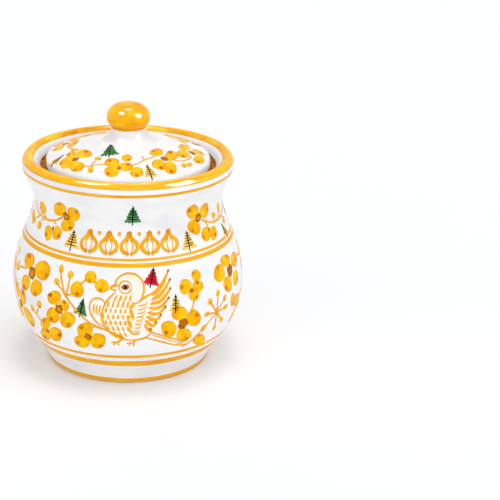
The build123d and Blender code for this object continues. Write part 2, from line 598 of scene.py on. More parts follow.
@dataclass(frozen=True)
class LidGlaze:
    """White tin glaze on the lid's upper side, with painted shade round the knob's neck, and bare red clay on
    its seat and in its hollow.
    """

    gloss: Gloss = Gloss()
    seat: float = 130.0
    run: float = 154.8  # the knob's yellow glaze has run down to here
    ball: float = 123.6  # radius of the dome's ball
    ball_middle: float = 24.1  # and height of its middle
    skin: float = 2.0  # the glaze ends this far under the dome
    hollow: float = 47.5
    shade_from: float = 30.0  # painted shade: the glaze is greyer from here
    shade_to: float = 13.0  # in to here, towards the knob's neck

    def material(self) -> bpy.types.Material:
        """Make the lid's material.

        Returns:
            The material.
        """
        material, bench = new_material("lid_white_glaze")
        ring = Ring.of(bench)
        colour, haze = ring.white(bench, ring.reach)
        # Painted shade round the knob's neck: the white turns grey in its hazy streaks towards the middle.
        shade = bench.step(ring.reach, self.shade_from, self.shade_to)
        colour = bench.tint(colour, PAINTED_SHADE_GREY, haze, 0.3, 0.65, shade * 0.45)
        ragged = (bench.noise(ring.place, 150.0, 2.0) - 0.5) * 1.2
        colour = bench.tint(colour, AMBER, ring.height + ragged * 0.4, self.run - 0.1, self.run + 0.1)
        low = bench.step(ring.height + ragged, self.seat + 0.9, self.seat + 0.4)
        dome = bench.maths("SQRT", self.ball**2 - ring.reach * ring.reach) + self.ball_middle
        hollow = bench.step(ring.height - dome, -self.skin, -self.skin - 0.2)
        hollow = hollow * bench.step(ring.reach, self.hollow, self.hollow - 0.3)
        bare = bench.most(low, hollow)
        self.gloss.dress(bench, bench.blend(bare, colour, ring.clay(bench)[0]), ring.place, bare)
        return material


@dataclass(frozen=True)
class KnobGlaze:
    """Honey-yellow glaze, brushed on in overlapping turns, and darker amber towards the knob's foot."""

    gloss: Gloss = Gloss(roughness=0.08, coat=0.35, coat_roughness=0.03, wave=0.03)
    foot: float = 155.8

    def material(self) -> bpy.types.Material:
        """Make the knob's material.

        Returns:
            The material.
        """
        material, bench = new_material("knob_yellow_glaze")
        ring = Ring.of(bench)
        streaks = bench.noise(ring.drawn_out(bench, ring.height), 330.0, 3.0, 0.65)
        clouds = bench.noise(bench.join(ring.x, ring.y, ring.height * MM * 1.6), 90.0, 2.0)
        colour = bench.tint(GOLD, PALE_GOLD, streaks, 0.48, 0.66, 0.6)
        colour = bench.tint(colour, AMBER, clouds, 0.48, 0.7, 0.7)
        colour = bench.tint(colour, AMBER, streaks, 0.46, 0.34, 0.6)
        # Darker amber towards the knob's foot.
        colour = bench.tint(colour, AMBER, ring.height + clouds * 3.0, self.foot + 5.2, self.foot + 1.6, 0.9)
        self.gloss.dress(bench, colour, ring.place)
        return material


# ---- Brushed colours ----


@dataclass(frozen=True)
class Mix:
    """A colour as it comes from the brush: thin and thick, with pooled edges."""

    lift: float  # height of the coat over the glaze, in mm
    thin: Colour
    thick: Colour
    edge: Colour
    edge_share: float = 0.5
    spot: Colour | None = None  # where the brush lifted off a dab
    ends: Colour | None = None  # where it was set down and lifted off a line
    fade: float = 0.0  # share of the mark's reach over which it fades into the glaze


class Pigment(Enum):
    """The colours on the painter's palette."""

    WASH = Mix(0.03, srgb(252, 250, 246), srgb(251, 238, 214), srgb(248, 231, 196), fade=0.2)
    CHALK = Mix(0.045, WHITE, COOL_WHITE, WHITE, 0.0)
    PETAL = Mix(0.06, srgb(255, 206, 16), srgb(250, 172, 0), srgb(236, 146, 0), 0.6, spot=srgb(188, 92, 0))
    LINE = Mix(0.07, srgb(252, 186, 0), srgb(240, 160, 0), srgb(222, 138, 0), 0.3, ends=srgb(184, 104, 0))
    SCRIPT = Mix(0.07, srgb(254, 192, 6), srgb(242, 158, 0), srgb(214, 126, 0), 0.6, ends=srgb(178, 98, 0))
    POLLEN = Mix(0.1, srgb(244, 168, 20), srgb(228, 140, 0), srgb(200, 112, 0))
    HEART = Mix(0.085, srgb(208, 128, 0), srgb(164, 88, 0), srgb(142, 74, 0), 0.4)
    GREEN = Mix(0.05, srgb(92, 160, 96), srgb(38, 116, 60), srgb(36, 108, 58), 0.4)
    RED = Mix(0.05, srgb(242, 48, 72), srgb(224, 20, 48), srgb(214, 22, 50), 0.4)
    STRAW = Mix(0.05, srgb(255, 220, 122), srgb(250, 196, 70), srgb(246, 200, 84), 0.4)
    INK = Mix(0.09, srgb(40, 34, 20), srgb(16, 15, 10), srgb(20, 18, 12), 0.3)

    def material(self, gloss: Gloss) -> bpy.types.Material:
        """Make the material of this colour.

        Each mark carries its own flat coordinates, x along the brush and y across it, from -1 to 1,
        and a grain between 0 and 1 that makes it differ from the next.

        Args:
            gloss: The glaze that the colour melted into.

        Returns:
            The material.
        """
        mix = self.value
        material, bench = new_material("brushed_" + self.name.lower())
        u, v, _ = bench.split(bench.wire("ShaderNodeUVMap", {"uv_map": "mark"}, None))
        x, y = u * 2.0 - 1.0, v * 2.0 - 1.0
        grain = bench.wire("ShaderNodeAttribute", {"attribute_name": "grain"}, None, "Fac")
        clouds = bench.noise(bench.join(x + grain * 37.0, y + grain * 11.0, grain * 53.0), 0.9, 3.0, 0.6)
        streaks = bench.noise(bench.join(x * 0.5 + grain * 19.0, y * 3.2, grain * 41.0), 1.0, 3.0, 0.6)
        colour = bench.tint(mix.thin, mix.thick, clouds * 0.65 + streaks * 0.35, 0.38, 0.62)
        away = bench.reach(x, y)
        if mix.edge_share:
            colour = bench.tint(colour, mix.edge, away + (clouds - 0.5) * 0.4, 0.62, 0.95, mix.edge_share)
        if mix.spot:
            aside = y - (grain - 0.5) * 0.9
            along = x - 0.62 + grain * 0.1
            lifted = bench.reach(along, aside) + (clouds - 0.5) * 0.3
            colour = bench.tint(colour, mix.spot, lifted, 0.42, 0.12, grain * 0.5 + 0.5)
            colour = bench.tint(colour, mix.thin, x + (streaks - 0.5) * 0.8, -0.2, -0.95, 0.6)
        if mix.ends:
            end = bench.size(x) + (clouds - 0.5) * 0.2
            colour = bench.tint(colour, mix.ends, end, 0.86, 0.98, 0.75)
        if mix.fade:
            colour = bench.tint(colour, WHITE, away, 1.0 - mix.fade, 1.0)
        gloss.dress(bench, colour, bench.object_place())
        return material


# ---- Grounds to paint on ----


def outward(turn: float) -> Vector:
    """Level direction at a turn."""
    return Vector((math.sin(math.radians(turn)), -math.cos(math.radians(turn)), 0.0))


class Ground:
    """A turned face, read from the fired piece, that marks are laid on. Millimetres."""

    probe_turns = (-50.0, -27.0, -3.0, 21.0, 44.0)
    clear_of = 0.2  # metres from the middle to where a probe starts

    def __init__(self, rows: list[Point], levels: list[float]) -> None:
        """Keep the face's outline.

        Args:
            rows: The outline's (reach, height) points, in order from its lower end inwards.
            levels: The level of each point, rising.
        """
        self.rows, self.levels = rows, levels
        self.arcs = [0.0]
        for (r0, z0), (r1, z1) in zip(rows, rows[1:]):
            self.arcs.append(self.arcs[-1] + math.hypot(r1 - r0, z1 - z0))

    def spot(self, arc: float) -> tuple[float, float, float, float]:
        """Place and outward direction at a length along the outline.

        Args:
            arc: The length from the outline's first point.

        Returns:
            Reach, height, and the reach and height parts of the outward direction.
        """
        index = min(max(bisect_left(self.arcs, arc), 1), len(self.arcs) - 1)
        (r0, z0), (r1, z1) = self.rows[index - 1], self.rows[index]
        share = (arc - self.arcs[index - 1]) / (self.arcs[index] - self.arcs[index - 1])
        low, high = self.rows[max(index - 3, 0)], self.rows[min(index + 2, len(self.rows) - 1)]
        slope = math.hypot(high[0] - low[0], high[1] - low[1])
        out, up = (high[1] - low[1]) / slope, -(high[0] - low[0]) / slope
        return r0 + (r1 - r0) * share, z0 + (z1 - z0) * share, out, up

    def arc_at(self, level: float) -> float:
        """Measure the outline as far as a level.

        Args:
            level: The level.

        Returns:
            The length along the outline.
        """
        index = min(max(bisect_left(self.levels, level), 1), len(self.levels) - 1)
        share = (level - self.levels[index - 1]) / (self.levels[index] - self.levels[index - 1])
        return self.arcs[index - 1] + share * (self.arcs[index] - self.arcs[index - 1])

    def patch(self, turn: float, level: float) -> "Patch":
        """Lay a flat sheet on the face at a turn and a level."""
        return Patch(self, turn, self.arc_at(level))

    @classmethod
    def probe(
        cls,
        piece: bpy.types.Object,
        aim: Callable[[Vector], tuple[Vector, Vector]],
        measure: Callable[[Vector], float],
    ) -> float:
        """Furthest that straight probes at a few turns meet a piece.

        Args:
            piece: The piece.
            aim: Gives a probe's start and way from the outward direction at its turn.
            measure: Gives what is measured, in metres, of the point that it meets.

        Returns:
            The largest measure, in millimetres.
        """
        found = 0.0
        for turn in cls.probe_turns:
            met, point, _, _ = piece.ray_cast(*aim(outward(turn)))
            if met:
                found = max(found, measure(point) / MM)
        return found


class Wall(Ground):
    """The jar's outer wall. Its level is the height."""

    def __init__(self, jar: bpy.types.Object) -> None:
        """Probe the wall from outside, every half millimetre.

        Args:
            jar: The jar.
        """
        heights = [count / 2 for count in range(4, 268)]
        rows = []
        for height in heights:
            base = Vector((0, 0, height * MM))
            reach = self.probe(
                jar, lambda out: (out * self.clear_of + base, -out), lambda point: math.hypot(*point.xy)
            )
            rows.append((reach, height))
        super().__init__(rows, heights)


class Dome(Ground):
    """The lid's dome. Its level is the reach from the middle, and up on a sheet is inwards."""

    def __init__(self, lid: bpy.types.Object) -> None:
        """Probe the dome from above, every half millimetre.

        Args:
            lid: The lid.
        """
        over, down = Vector((0, 0, self.clear_of)), Vector((0, 0, -1))
        reaches = [count / 2 for count in range(103, 33, -1)]
        rows = []
        for reach in reaches:
            height = self.probe(lid, lambda out: (out * (reach * MM) + over, down), lambda point: point.z)
            rows.append((reach, height))
        super().__init__(rows, [-reach for reach in reaches])

    def arc_at(self, level: float) -> float:
        """Length along the outline, inwards, to a reach."""
        return super().arc_at(-level)


@dataclass(frozen=True)
class Patch:
    """A small sheet that follows a ground: x to the right and y up, from its own middle."""

    ground: Ground
    turn: float
    arc: float

    def place(self, right: float, up: float, lift: float) -> Vector:
        """Point on the sheet.

        Args:
            right: Millimetres to the right of the sheet's middle.
            up: Millimetres up from the sheet's middle.
            lift: Millimetres out from the ground.

        Returns:
            The point, in metres.
        """
        reach, height, out, rise = self.ground.spot(self.arc + up)
        angle = math.radians(self.turn) + right / reach
        far = (reach + lift * out) * MM
        return Vector((far * math.sin(angle), -far * math.cos(angle), (height + lift * rise) * MM))

    def local(self, turn: float, level: float) -> Point:
        """Where a turn and a level of the ground are on the sheet."""
        arc = self.ground.arc_at(level)
        return math.radians(turn - self.turn) * self.ground.spot(arc)[0], arc - self.arc


# ---- Brush marks ----


def clear_selection() -> None:
    """Deselect everything, so that an operator acts on new work alone."""
    bpy.ops.object.select_all(action="DESELECT")


def leaned(x: float, y: float, lean: float) -> Point:
    """A point, turned about the middle by an angle in degrees, anticlockwise."""
    cos, sin = math.cos(math.radians(lean)), math.sin(math.radians(lean))
    return (x * cos - y * sin, x * sin + y * cos)


class Stencils:
    """The few marks that the painter repeats, each modelled once and copied."""

    def __init__(self) -> None:
        """Model the round dabs, the long stroke and the short dash."""
        self.dab = self._dab(24, (0.22, 0.3))
        self.broad = self._dab(40, (0.1, 0.12, 0.14, 0.14, 0.14, 0.14))
        self.dot = self._dab(12, (0.4,))
        self.stroke = self._stroke("stroke", 26)
        self.dash = self._stroke("dash", 8)

    @staticmethod
    def _dab(points: int, insets: Sequence[float]) -> bpy.types.Object:
        """Model a round dab of unit reach, in rings, with a poked middle.

        Args:
            points: How many points its outer ring has.
            insets: Depth of each ring.

        Returns:
            The stencil.
        """
        clear_selection()
        bpy.ops.mesh.primitive_circle_add(vertices=points, radius=1.0, fill_type="NGON")
        dab = bpy.context.object
        bpy.ops.object.mode_set(mode="EDIT")
        bpy.ops.mesh.select_all(action="SELECT")
        for depth in insets:
            bpy.ops.mesh.inset(thickness=depth)
        bpy.ops.mesh.poke()
        bpy.ops.object.mode_set(mode="OBJECT")
        return Stencils._mark(dab, f"dab_{points}")

    @staticmethod
    def _stroke(name: str, parts: int) -> bpy.types.Object:
        """Model a straight stroke of unit half length and half width.

        Args:
            name: The stencil's name.
            parts: How many parts its length has.

        Returns:
            The stencil.
        """
        clear_selection()
        bpy.ops.mesh.primitive_plane_add(size=2.0)
        stroke = bpy.context.object
        bpy.ops.object.mode_set(mode="EDIT")
        bpy.ops.mesh.select_mode(type="EDGE")
        bpy.ops.mesh.select_all(action="DESELECT")
        bpy.ops.object.mode_set(mode="OBJECT")
        for edge in stroke.data.edges:
            ends = [stroke.data.vertices[index].co for index in edge.vertices]
            edge.select = abs(ends[0].y - ends[1].y) < 0.5
        bpy.ops.object.mode_set(mode="EDIT")
        bpy.ops.mesh.subdivide(number_cuts=parts - 1)
        bpy.ops.mesh.select_mode(type="VERT")
        bpy.ops.object.mode_set(mode="OBJECT")
        return Stencils._mark(stroke, name)

    @staticmethod
    def _mark(stencil: bpy.types.Object, name: str) -> bpy.types.Object:
        """Give a stencil its flat coordinates and its grain, and put it aside.

        Args:
            stencil: The stencil.
            name: Its name.

        Returns:
            The same stencil.
        """
        stencil.name = name
        mesh = stencil.data
        while mesh.uv_layers:
            mesh.uv_layers.remove(mesh.uv_layers[0])
        layer = mesh.uv_layers.new(name="mark")
        for loop in mesh.loops:
            spot = mesh.vertices[loop.vertex_index].co
            layer.data[loop.index].uv = ((spot.x + 1) / 2, (spot.y + 1) / 2)
        mesh.attributes.new("grain", "FLOAT", "POINT")
        return stencil

    @staticmethod
    def copy(
        stencil: bpy.types.Object, lay: Callable[[float, float], Vector], grain: float
    ) -> bpy.types.Object:
        """Lay one copy of a stencil.

        Args:
            stencil: The mark to copy.
            lay: Gives the place, in metres, of each of the stencil's flat points.
            grain: The copy's own number between 0 and 1.

        Returns:
            The copy, with a mesh of its own.
        """
        mesh = stencil.data.copy()
        spots = [value for vertex in stencil.data.vertices for value in lay(vertex.co.x, vertex.co.y)]
        mesh.vertices.foreach_set("co", spots)
        mesh.attributes["grain"].data.foreach_set("value", [grain] * len(mesh.vertices))
        mark = bpy.data.objects.new(stencil.name + "_copy", mesh)
        bpy.context.collection.objects.link(mark)
        return mark

    def clear(self) -> None:
        """Throw the stencils away when the painting is done."""
        for stencil in vars(self).values():
            bpy.data.objects.remove(stencil)


def smooth_path(points: Sequence[Point], share: float) -> tuple[Point, Point]:
    """Point and direction on a smooth line through points.

    Args:
        points: The points, in order.
        share: How far along, from 0 to 1.

    Returns:
        The point and the unit direction there.
    """
    spans = len(points) - 1
    place = min(max(share, 0.0), 1.0) * spans
    index = min(int(place), spans - 1)
    t = place - index
    a, b = points[max(index - 1, 0)], points[index]
    c, d = points[index + 1], points[min(index + 2, spans)]
    spot, way = [], []
    for k in (0, 1):
        tangent_b = (c[k] - a[k]) / 2
        tangent_c = (d[k] - b[k]) / 2
        cube = 2 * b[k] - 2 * c[k] + tangent_b + tangent_c
        square = -3 * b[k] + 3 * c[k] - 2 * tangent_b - tangent_c
        spot.append(((cube * t + square) * t + tangent_b) * t + b[k])
        way.append((3 * cube * t + 2 * square) * t + tangent_b)
    size = math.hypot(*way) or 1.0
    return (spot[0], spot[1]), (way[0] / size, way[1] / size)


class Shape(Enum):
    """How a stroke's width runs from its start to its end."""

    EVEN = "even"
    TAPERED = "tapered"
    LEAF = "leaf"

    def width(self, along: float) -> float:
        """Find the width at a place along the stroke.

        Args:
            along: The place, from -1 to 1.

        Returns:
            Share of the full width.
        """
        if self is Shape.LEAF:
            return max(math.sqrt(max(1 - along * along, 0.0)), 0.12)
        ends = math.sqrt(max(1 - abs(along) ** 8, 0.06))
        return ends * (0.95 - 0.45 * (along + 1) / 2) if self is Shape.TAPERED else ends


@dataclass
class Painter:
    """Paints one piece: lays marks in each colour, then joins each colour into one coat."""

    body: str
    slot: str
    ground: Ground
    stencils: Stencils
    dice: random.Random
    coats: dict[Pigment, list[bpy.types.Object]] = field(default_factory=dict)
    broad_from: float = 14.0  # a longer dab takes the stencil with more points
    dot_to: float = 3.2  # and a shorter one takes the smallest
    dash_to: float = 7.0
    thickness: float = 0.35
    crease: float = 40.0  # degrees between faces that still look smooth
    layers: int = 9  # marks of one colour take turns in so many lifts
    layer: float = 0.0015

    def _lift(self, pigment: Pigment) -> float:
        """Lift of the next mark, so that crossing marks never share a face."""
        laid = len(self.coats.setdefault(pigment, []))
        return pigment.value.lift + self.layer * (laid % self.layers)

    def dab(
        self,
        patch: Patch,
        pigment: Pigment,
        middle: Point,
        size: tuple[float, float],
        lean: float = 0.0,
        outline: Callable[[float], float] | None = None,
    ) -> None:
        """Lay a dab.

        Args:
            patch: The sheet that it is laid on.
            pigment: Its colour.
            middle: Its middle on the sheet.
            size: Its length and width.
            lean: Angle of its length, in degrees from the right, anticlockwise.
            outline: Share of its reach at an angle, or None for an uneven egg.
        """
        lift = self._lift(pigment)
        grain = self.dice.random()
        swell, turn = self.dice.uniform(0.02, 0.06), self.dice.uniform(0, 6.28)
        egg = 0.0 if outline else 0.12

        def lay(x: float, y: float) -> Vector:
            """Place one point of the dab.

            Args:
                x: The point's place along the stencil, from -1 to 1.
                y: Its place across the stencil, from -1 to 1.

            Returns:
                The point on the coat.
            """
            angle = math.atan2(y, x)
            if outline:
                reach = outline(angle)
            else:
                reach = 1 + swell * math.sin(2 * angle + turn) + 0.02 * math.sin(5 * angle + turn * 3)
            right, up = leaned(x * reach * size[0] / 2, y * reach * size[1] / 2 * (1 + egg * x), lean)
            return patch.place(middle[0] + right, middle[1] + up, lift)

        stencil = self.stencils.dab
        if max(size) > self.broad_from:
            stencil = self.stencils.broad
        elif max(size) < self.dot_to and outline is None:
            stencil = self.stencils.dot
        self.coats[pigment].append(self.stencils.copy(stencil, lay, grain))

    def stroke(
        self, patch: Patch, pigment: Pigment, points: Sequence[Point], width: float, shape: Shape = Shape.EVEN
    ) -> None:
        """Draw a stroke through points of a sheet.

        Args:
            patch: The sheet that it is drawn on.
            pigment: Its colour.
            points: Its points on the sheet.
            width: Its full width.
            shape: How the width runs.
        """
        lift = self._lift(pigment)
        grain = self.dice.random()
        start = self.dice.uniform(0, 6.28)
        span = sum(math.dist(a, b) for a, b in zip(points, points[1:]))

        def lay(x: float, y: float) -> Vector:
            """Place one point of the stroke.

            Args:
                x: The point's place along the stencil, from -1 to 1.
                y: Its place across the stencil, from -1 to 1.

            Returns:
                The point on the coat.
            """
            (right, up), (way_x, way_y) = smooth_path(points, (x + 1) / 2)
            press = 1 + 0.12 * math.sin(start + x * span / 4.5)
            half = width / 2 * shape.width(x) * press
            return patch.place(right - way_y * y * half, up + way_x * y * half, lift)

        short = span < self.dash_to and len(points) < 4
        stencil = self.stencils.dash if short else self.stencils.stroke
        self.coats[pigment].append(self.stencils.copy(stencil, lay, grain))

    def join(self, finishes: dict[Pigment, bpy.types.Material]) -> list[bpy.types.Object]:
        """Join the marks of each colour into one thin coat, and give the coats.

        Args:
            finishes: The material of each colour.

        Returns:
            The finished pieces.
        """
        pieces = []
        for pigment, marks in self.coats.items():
            clear_selection()
            for mark in marks:
                mark.select_set(True)
            bpy.context.view_layer.objects.active = marks[0]
            if len(marks) > 1:
                bpy.ops.object.join()
            piece = bpy.context.object
            piece.name = f"{self.body}_{pigment.name.lower()}"
            piece.data.materials.append(finishes[pigment])
            coat = piece.modifiers.new("coat", "SOLIDIFY")
            coat.thickness = self.thickness * MM
            coat.offset = -1.0
            bpy.ops.object.modifier_apply(modifier=coat.name)
            bpy.ops.object.shade_smooth_by_angle(angle=math.radians(self.crease))
            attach(piece, self.body)
            pieces.append(piece)
            log.info("%s: %d marks, %d faces", piece.name, len(marks), len(piece.data.polygons))
        return pieces


# ---- Motifs ----

LINE_WIDTH = 1.35
Leaf = tuple[float, float, float, float, float]  # right, up, length, width and lean


def fir_outline(dice: random.Random) -> Callable[[float], float]:
    """Make the ragged outline of a fir's crown, point up.

    Args:
        dice: The painter's own chance.

    Returns:
        The outline's reach at an angle.
    """
    teeth = 24
    ragged = [dice.uniform(-0.05, 0.05) for _ in range(teeth)]

    def reach(angle: float) -> float:
        """Find how far the crown reaches.

        Args:
            angle: The angle, in radians from the right, anticlockwise.

        Returns:
            Its share of a dab's reach.
        """
        turn = (angle - math.pi / 2) % (2 * math.pi / 3)
        flat = 0.5 / math.cos(turn - math.pi / 3)
        tooth = round(angle / (2 * math.pi) * teeth) % teeth
        return flat * (0.92 if tooth % 2 else 1.05) + ragged[tooth]

    return reach


def blot_outline(dice: random.Random) -> Callable[[float], float]:
    """Make the uneven outline of a flower's heart: its reach at an angle."""
    start, other = dice.uniform(0, 6.28), dice.uniform(0, 6.28)
    return lambda angle: 1 + 0.1 * math.sin(4 * angle + start) + 0.06 * math.sin(3 * angle + other)


@dataclass(frozen=True)
class Motif:
    """Something small that is painted at a turn and a level."""

    turn: float
    level: float

    def paint(self, painter: Painter) -> None:
        """Paint it in its place."""
        self.lay(painter, painter.ground.patch(self.turn, self.level))

    def lay(self, painter: Painter, patch: Patch) -> None:
        """Lay it on its own sheet. Each kind of motif has its own way."""
        raise NotImplementedError

    def turned(self, turn: float) -> "Motif":
        """Make the same motif further round."""
        return replace(self, turn=self.turn + turn)


@dataclass(frozen=True)
class Flower(Motif):
    """A flower: round petals set about a dark heart."""

    heart: float
    petals: tuple[Leaf, ...]

    @staticmethod
    def even(turn: float, level: float, leans: Sequence[float], size: float) -> "Flower":
        """Make a flower whose petals are alike.

        Args:
            turn: Turn of its heart.
            level: Level of its heart.
            leans: Each petal's direction, in degrees from the right, anticlockwise.
            size: Size of a petal.

        Returns:
            The flower.
        """
        petals = tuple((*leaned(size * 0.76, 0.0, lean), size, size, lean) for lean in leans)
        return Flower(turn, level, size * 0.6, petals)

    def lay(self, painter: Painter, patch: Patch) -> None:
        """Lay the petals, then the heart.

        Args:
            painter: Who paints it.
            patch: The sheet that it is painted on.
        """
        for right, up, length, width, lean in self.petals:
            swell = painter.dice.uniform(1.02, 1.09)
            size = (length * swell, width * swell)
            painter.dab(patch, Pigment.PETAL, (right * 0.98, up * 0.98), size, lean)
        chance = painter.dice.uniform
        size = (self.heart * 1.05, self.heart * chance(0.84, 0.95))
        painter.dab(patch, Pigment.HEART, (0.0, 0.0), size, chance(40, 130), blot_outline(painter.dice))
        for count in range(5):
            lean = 72 * count + chance(-20, 20)
            size = self.heart * chance(0.38, 0.46)
            painter.dab(patch, Pigment.HEART, leaned(self.heart * 0.3, 0.0, lean), (size * 1.15, size), lean)
        if self.heart > 5.0 and painter.dice.random() < 0.6:
            size = self.heart * chance(0.34, 0.46)
            painter.dab(patch, Pigment.POLLEN, (0.0, -self.heart * 0.06), (size * 1.2, size), chance(0, 90))


@dataclass(frozen=True)
class Pair(Motif):
    """Two leaves side by side that hang from one stalk."""

    leaves: tuple[Leaf, ...]

    def lay(self, painter: Painter, patch: Patch) -> None:
        """Lay the leaves, then the dark drop at the stalk.

        Args:
            painter: Who paints it.
            patch: The sheet that it is painted on.
        """
        for right, up, length, width, lean in self.leaves:
            painter.dab(patch, Pigment.PETAL, (right, up), (length, width), lean)
        painter.dab(patch, Pigment.HEART, (0.0, -0.4), (3.0, 1.7), 90)


@dataclass(frozen=True)
class Bud(Motif):
    """A bud, a leaf or a berry: one small dab."""

    length: float
    width: float = 0.0
    lean: float = 90.0

    def lay(self, painter: Painter, patch: Patch) -> None:
        """Lay the dab."""
        width = self.width or self.length * 0.94
        painter.dab(patch, Pigment.PETAL, (0.0, 0.0), (self.length, width), self.lean + 180)


@dataclass(frozen=True)
class Stem:
    """A stem or stalk through turns and levels."""

    points: tuple[Point, ...]
    width: float

    def paint(self, painter: Painter) -> None:
        """Draw the stem."""
        patch = painter.ground.patch(*self.points[0])
        painter.stroke(patch, Pigment.LINE, [patch.local(*point) for point in self.points], self.width)

    def turned(self, turn: float) -> "Stem":
        """Make the same stem further round."""
        return replace(self, points=tuple((start + turn, level) for start, level in self.points))


@dataclass(frozen=True)
class Star(Motif):
    """A seed head: thin rays from one middle, each with a bud at its tip."""

    tips: tuple[Point, ...]
    bud: float = 4.8
    plump: float = 0.76  # a bud's width to its length

    def lay(self, painter: Painter, patch: Patch) -> None:
        """Draw the rays, then the buds and the middle.

        Args:
            painter: Who paints it.
            patch: The sheet that it is painted on.
        """
        for tip in self.tips:
            right, up = patch.local(*tip)
            painter.stroke(patch, Pigment.LINE, ((0.0, 0.0), (right / 2, up / 2), (right, up)), LINE_WIDTH)
            lean = math.degrees(math.atan2(up, right))
            size = self.bud * painter.dice.uniform(0.9, 1.1)
            painter.dab(patch, Pigment.PETAL, (right, up), (size, size * self.plump), lean + 180)
        painter.dab(patch, Pigment.LINE, (0.0, 0.0), (2.0, 1.8))


@dataclass(frozen=True)
class Fir(Motif):
    """A little fir: a ragged crown with its trunk and twigs in ink."""

    pigment: Pigment
    width: float
    height: float
    lean: float = 0.0

    def lay(self, painter: Painter, patch: Patch) -> None:
        """Lay the crown, then draw the trunk and the twigs.

        Args:
            painter: Who paints it.
            patch: The sheet that it is painted on.
        """
        size = (self.width * 1.16, self.height * 1.34)
        middle = leaned(0.0, -self.height * 0.17, self.lean)
        painter.dab(patch, self.pigment, middle, size, self.lean, fir_outline(painter.dice))
        top, foot = self.height * 0.42, -self.height * 0.68
        self._ink(painter, patch, ((0.2, top), (0.0, 0.0), (-0.3, foot)), 0.8)
        rows = 6
        for row in range(rows):
            share = (row + 0.8) / rows
            y = top - share * self.height * 0.78
            for side in (-1, 1):
                out = side * self.width * (0.08 + 0.24 * share) * painter.dice.uniform(0.75, 1.1)
                rise = painter.dice.uniform(-0.6, 0.5)
                self._ink(painter, patch, ((0.0, y), (out / 2, y + rise / 2), (out, y + rise)), 0.6)

    def _ink(self, painter: Painter, patch: Patch, points: Sequence[Point], width: float) -> None:
        """Draw one ink line, leaned with the fir."""
        painter.stroke(patch, Pigment.INK, [leaned(x, y, self.lean) for x, y in points], width)


def stems(width: float, *lines: tuple[Point, ...]) -> tuple[Stem, ...]:
    """Stems of one width."""
    return tuple(Stem(line, width) for line in lines)


def buds(*rows: tuple[float, ...]) -> tuple[Bud, ...]:
    """Buds, each with its turn, level and length, and its width and lean where they are its own."""
    return tuple(Bud(*row) for row in rows)


# Each spray has its stems first, and then what grows on them.

NECK_FRONT = (
    *stems(
        LINE_WIDTH,
        ((-41.5, 110), (-47, 106.5), (-54, 104.5), (-61, 104.5), (-69, 105.5), (-72, 109), (-73.5, 112)),
        ((-57, 104.5), (-60, 106.5)), ((-65, 104), (-70, 101)), ((-60, 104), (-62, 101.5)),
        ((-48, 106), (-48.5, 103.5)),
        ((48, 107), (54, 103.5), (61, 101.5), (70, 101.5), (79, 103.5), (84, 107)),
        ((61, 101.5), (61.5, 104)), ((68, 101.5), (70, 105.5)), ((73, 101.5), (75, 99.5)),
    ),
    *stems(1.2, ((50, 106), (52.5, 103), (53.5, 100))),
    Flower(-39, 111, 5.5, ((-4.5, 4, 8.5, 13.5, 135), (6, 2.5, 11.5, 8.5, 60), (1, -5.5, 8, 10, -70))),
    Pair(-49, 101, ((-3, -4, 7.5, 10, -145), (4.5, -2, 9, 7.5, -60))),
    *buds(
        (-61.5, 110.5, 10.5, 7.5, 35), (-72, 98.5, 7, 4.5, 5), (-63, 98.5, 6, 4.5, 170),
        (-77, 101, 9.5, 5, 165),
    ),
    Flower(
        45.5, 108.5, 5.5,
        ((-5.5, 5.5, 12.5, 8.5, 135), (5.5, 3.5, 8.5, 12, 35), (-4, -5, 9, 10.5, -120)),
    ),
    Pair(53.5, 99, ((-4, -2, 9.5, 8, -125), (3.5, -3.5, 7.5, 10, -50))),
    *buds((61.5, 105.5, 5.5, 4, 160), (70, 108, 8, 5, 115), (75.5, 98, 6, 4, 20)),
    Fir(2.5, 118, Pigment.GREEN, 10.5, 13), Fir(-33, 98.5, Pigment.STRAW, 12, 12),
    Fir(35.5, 97.5, Pigment.STRAW, 11.5, 12), Fir(70, 94, Pigment.STRAW, 9, 10, 14),
)

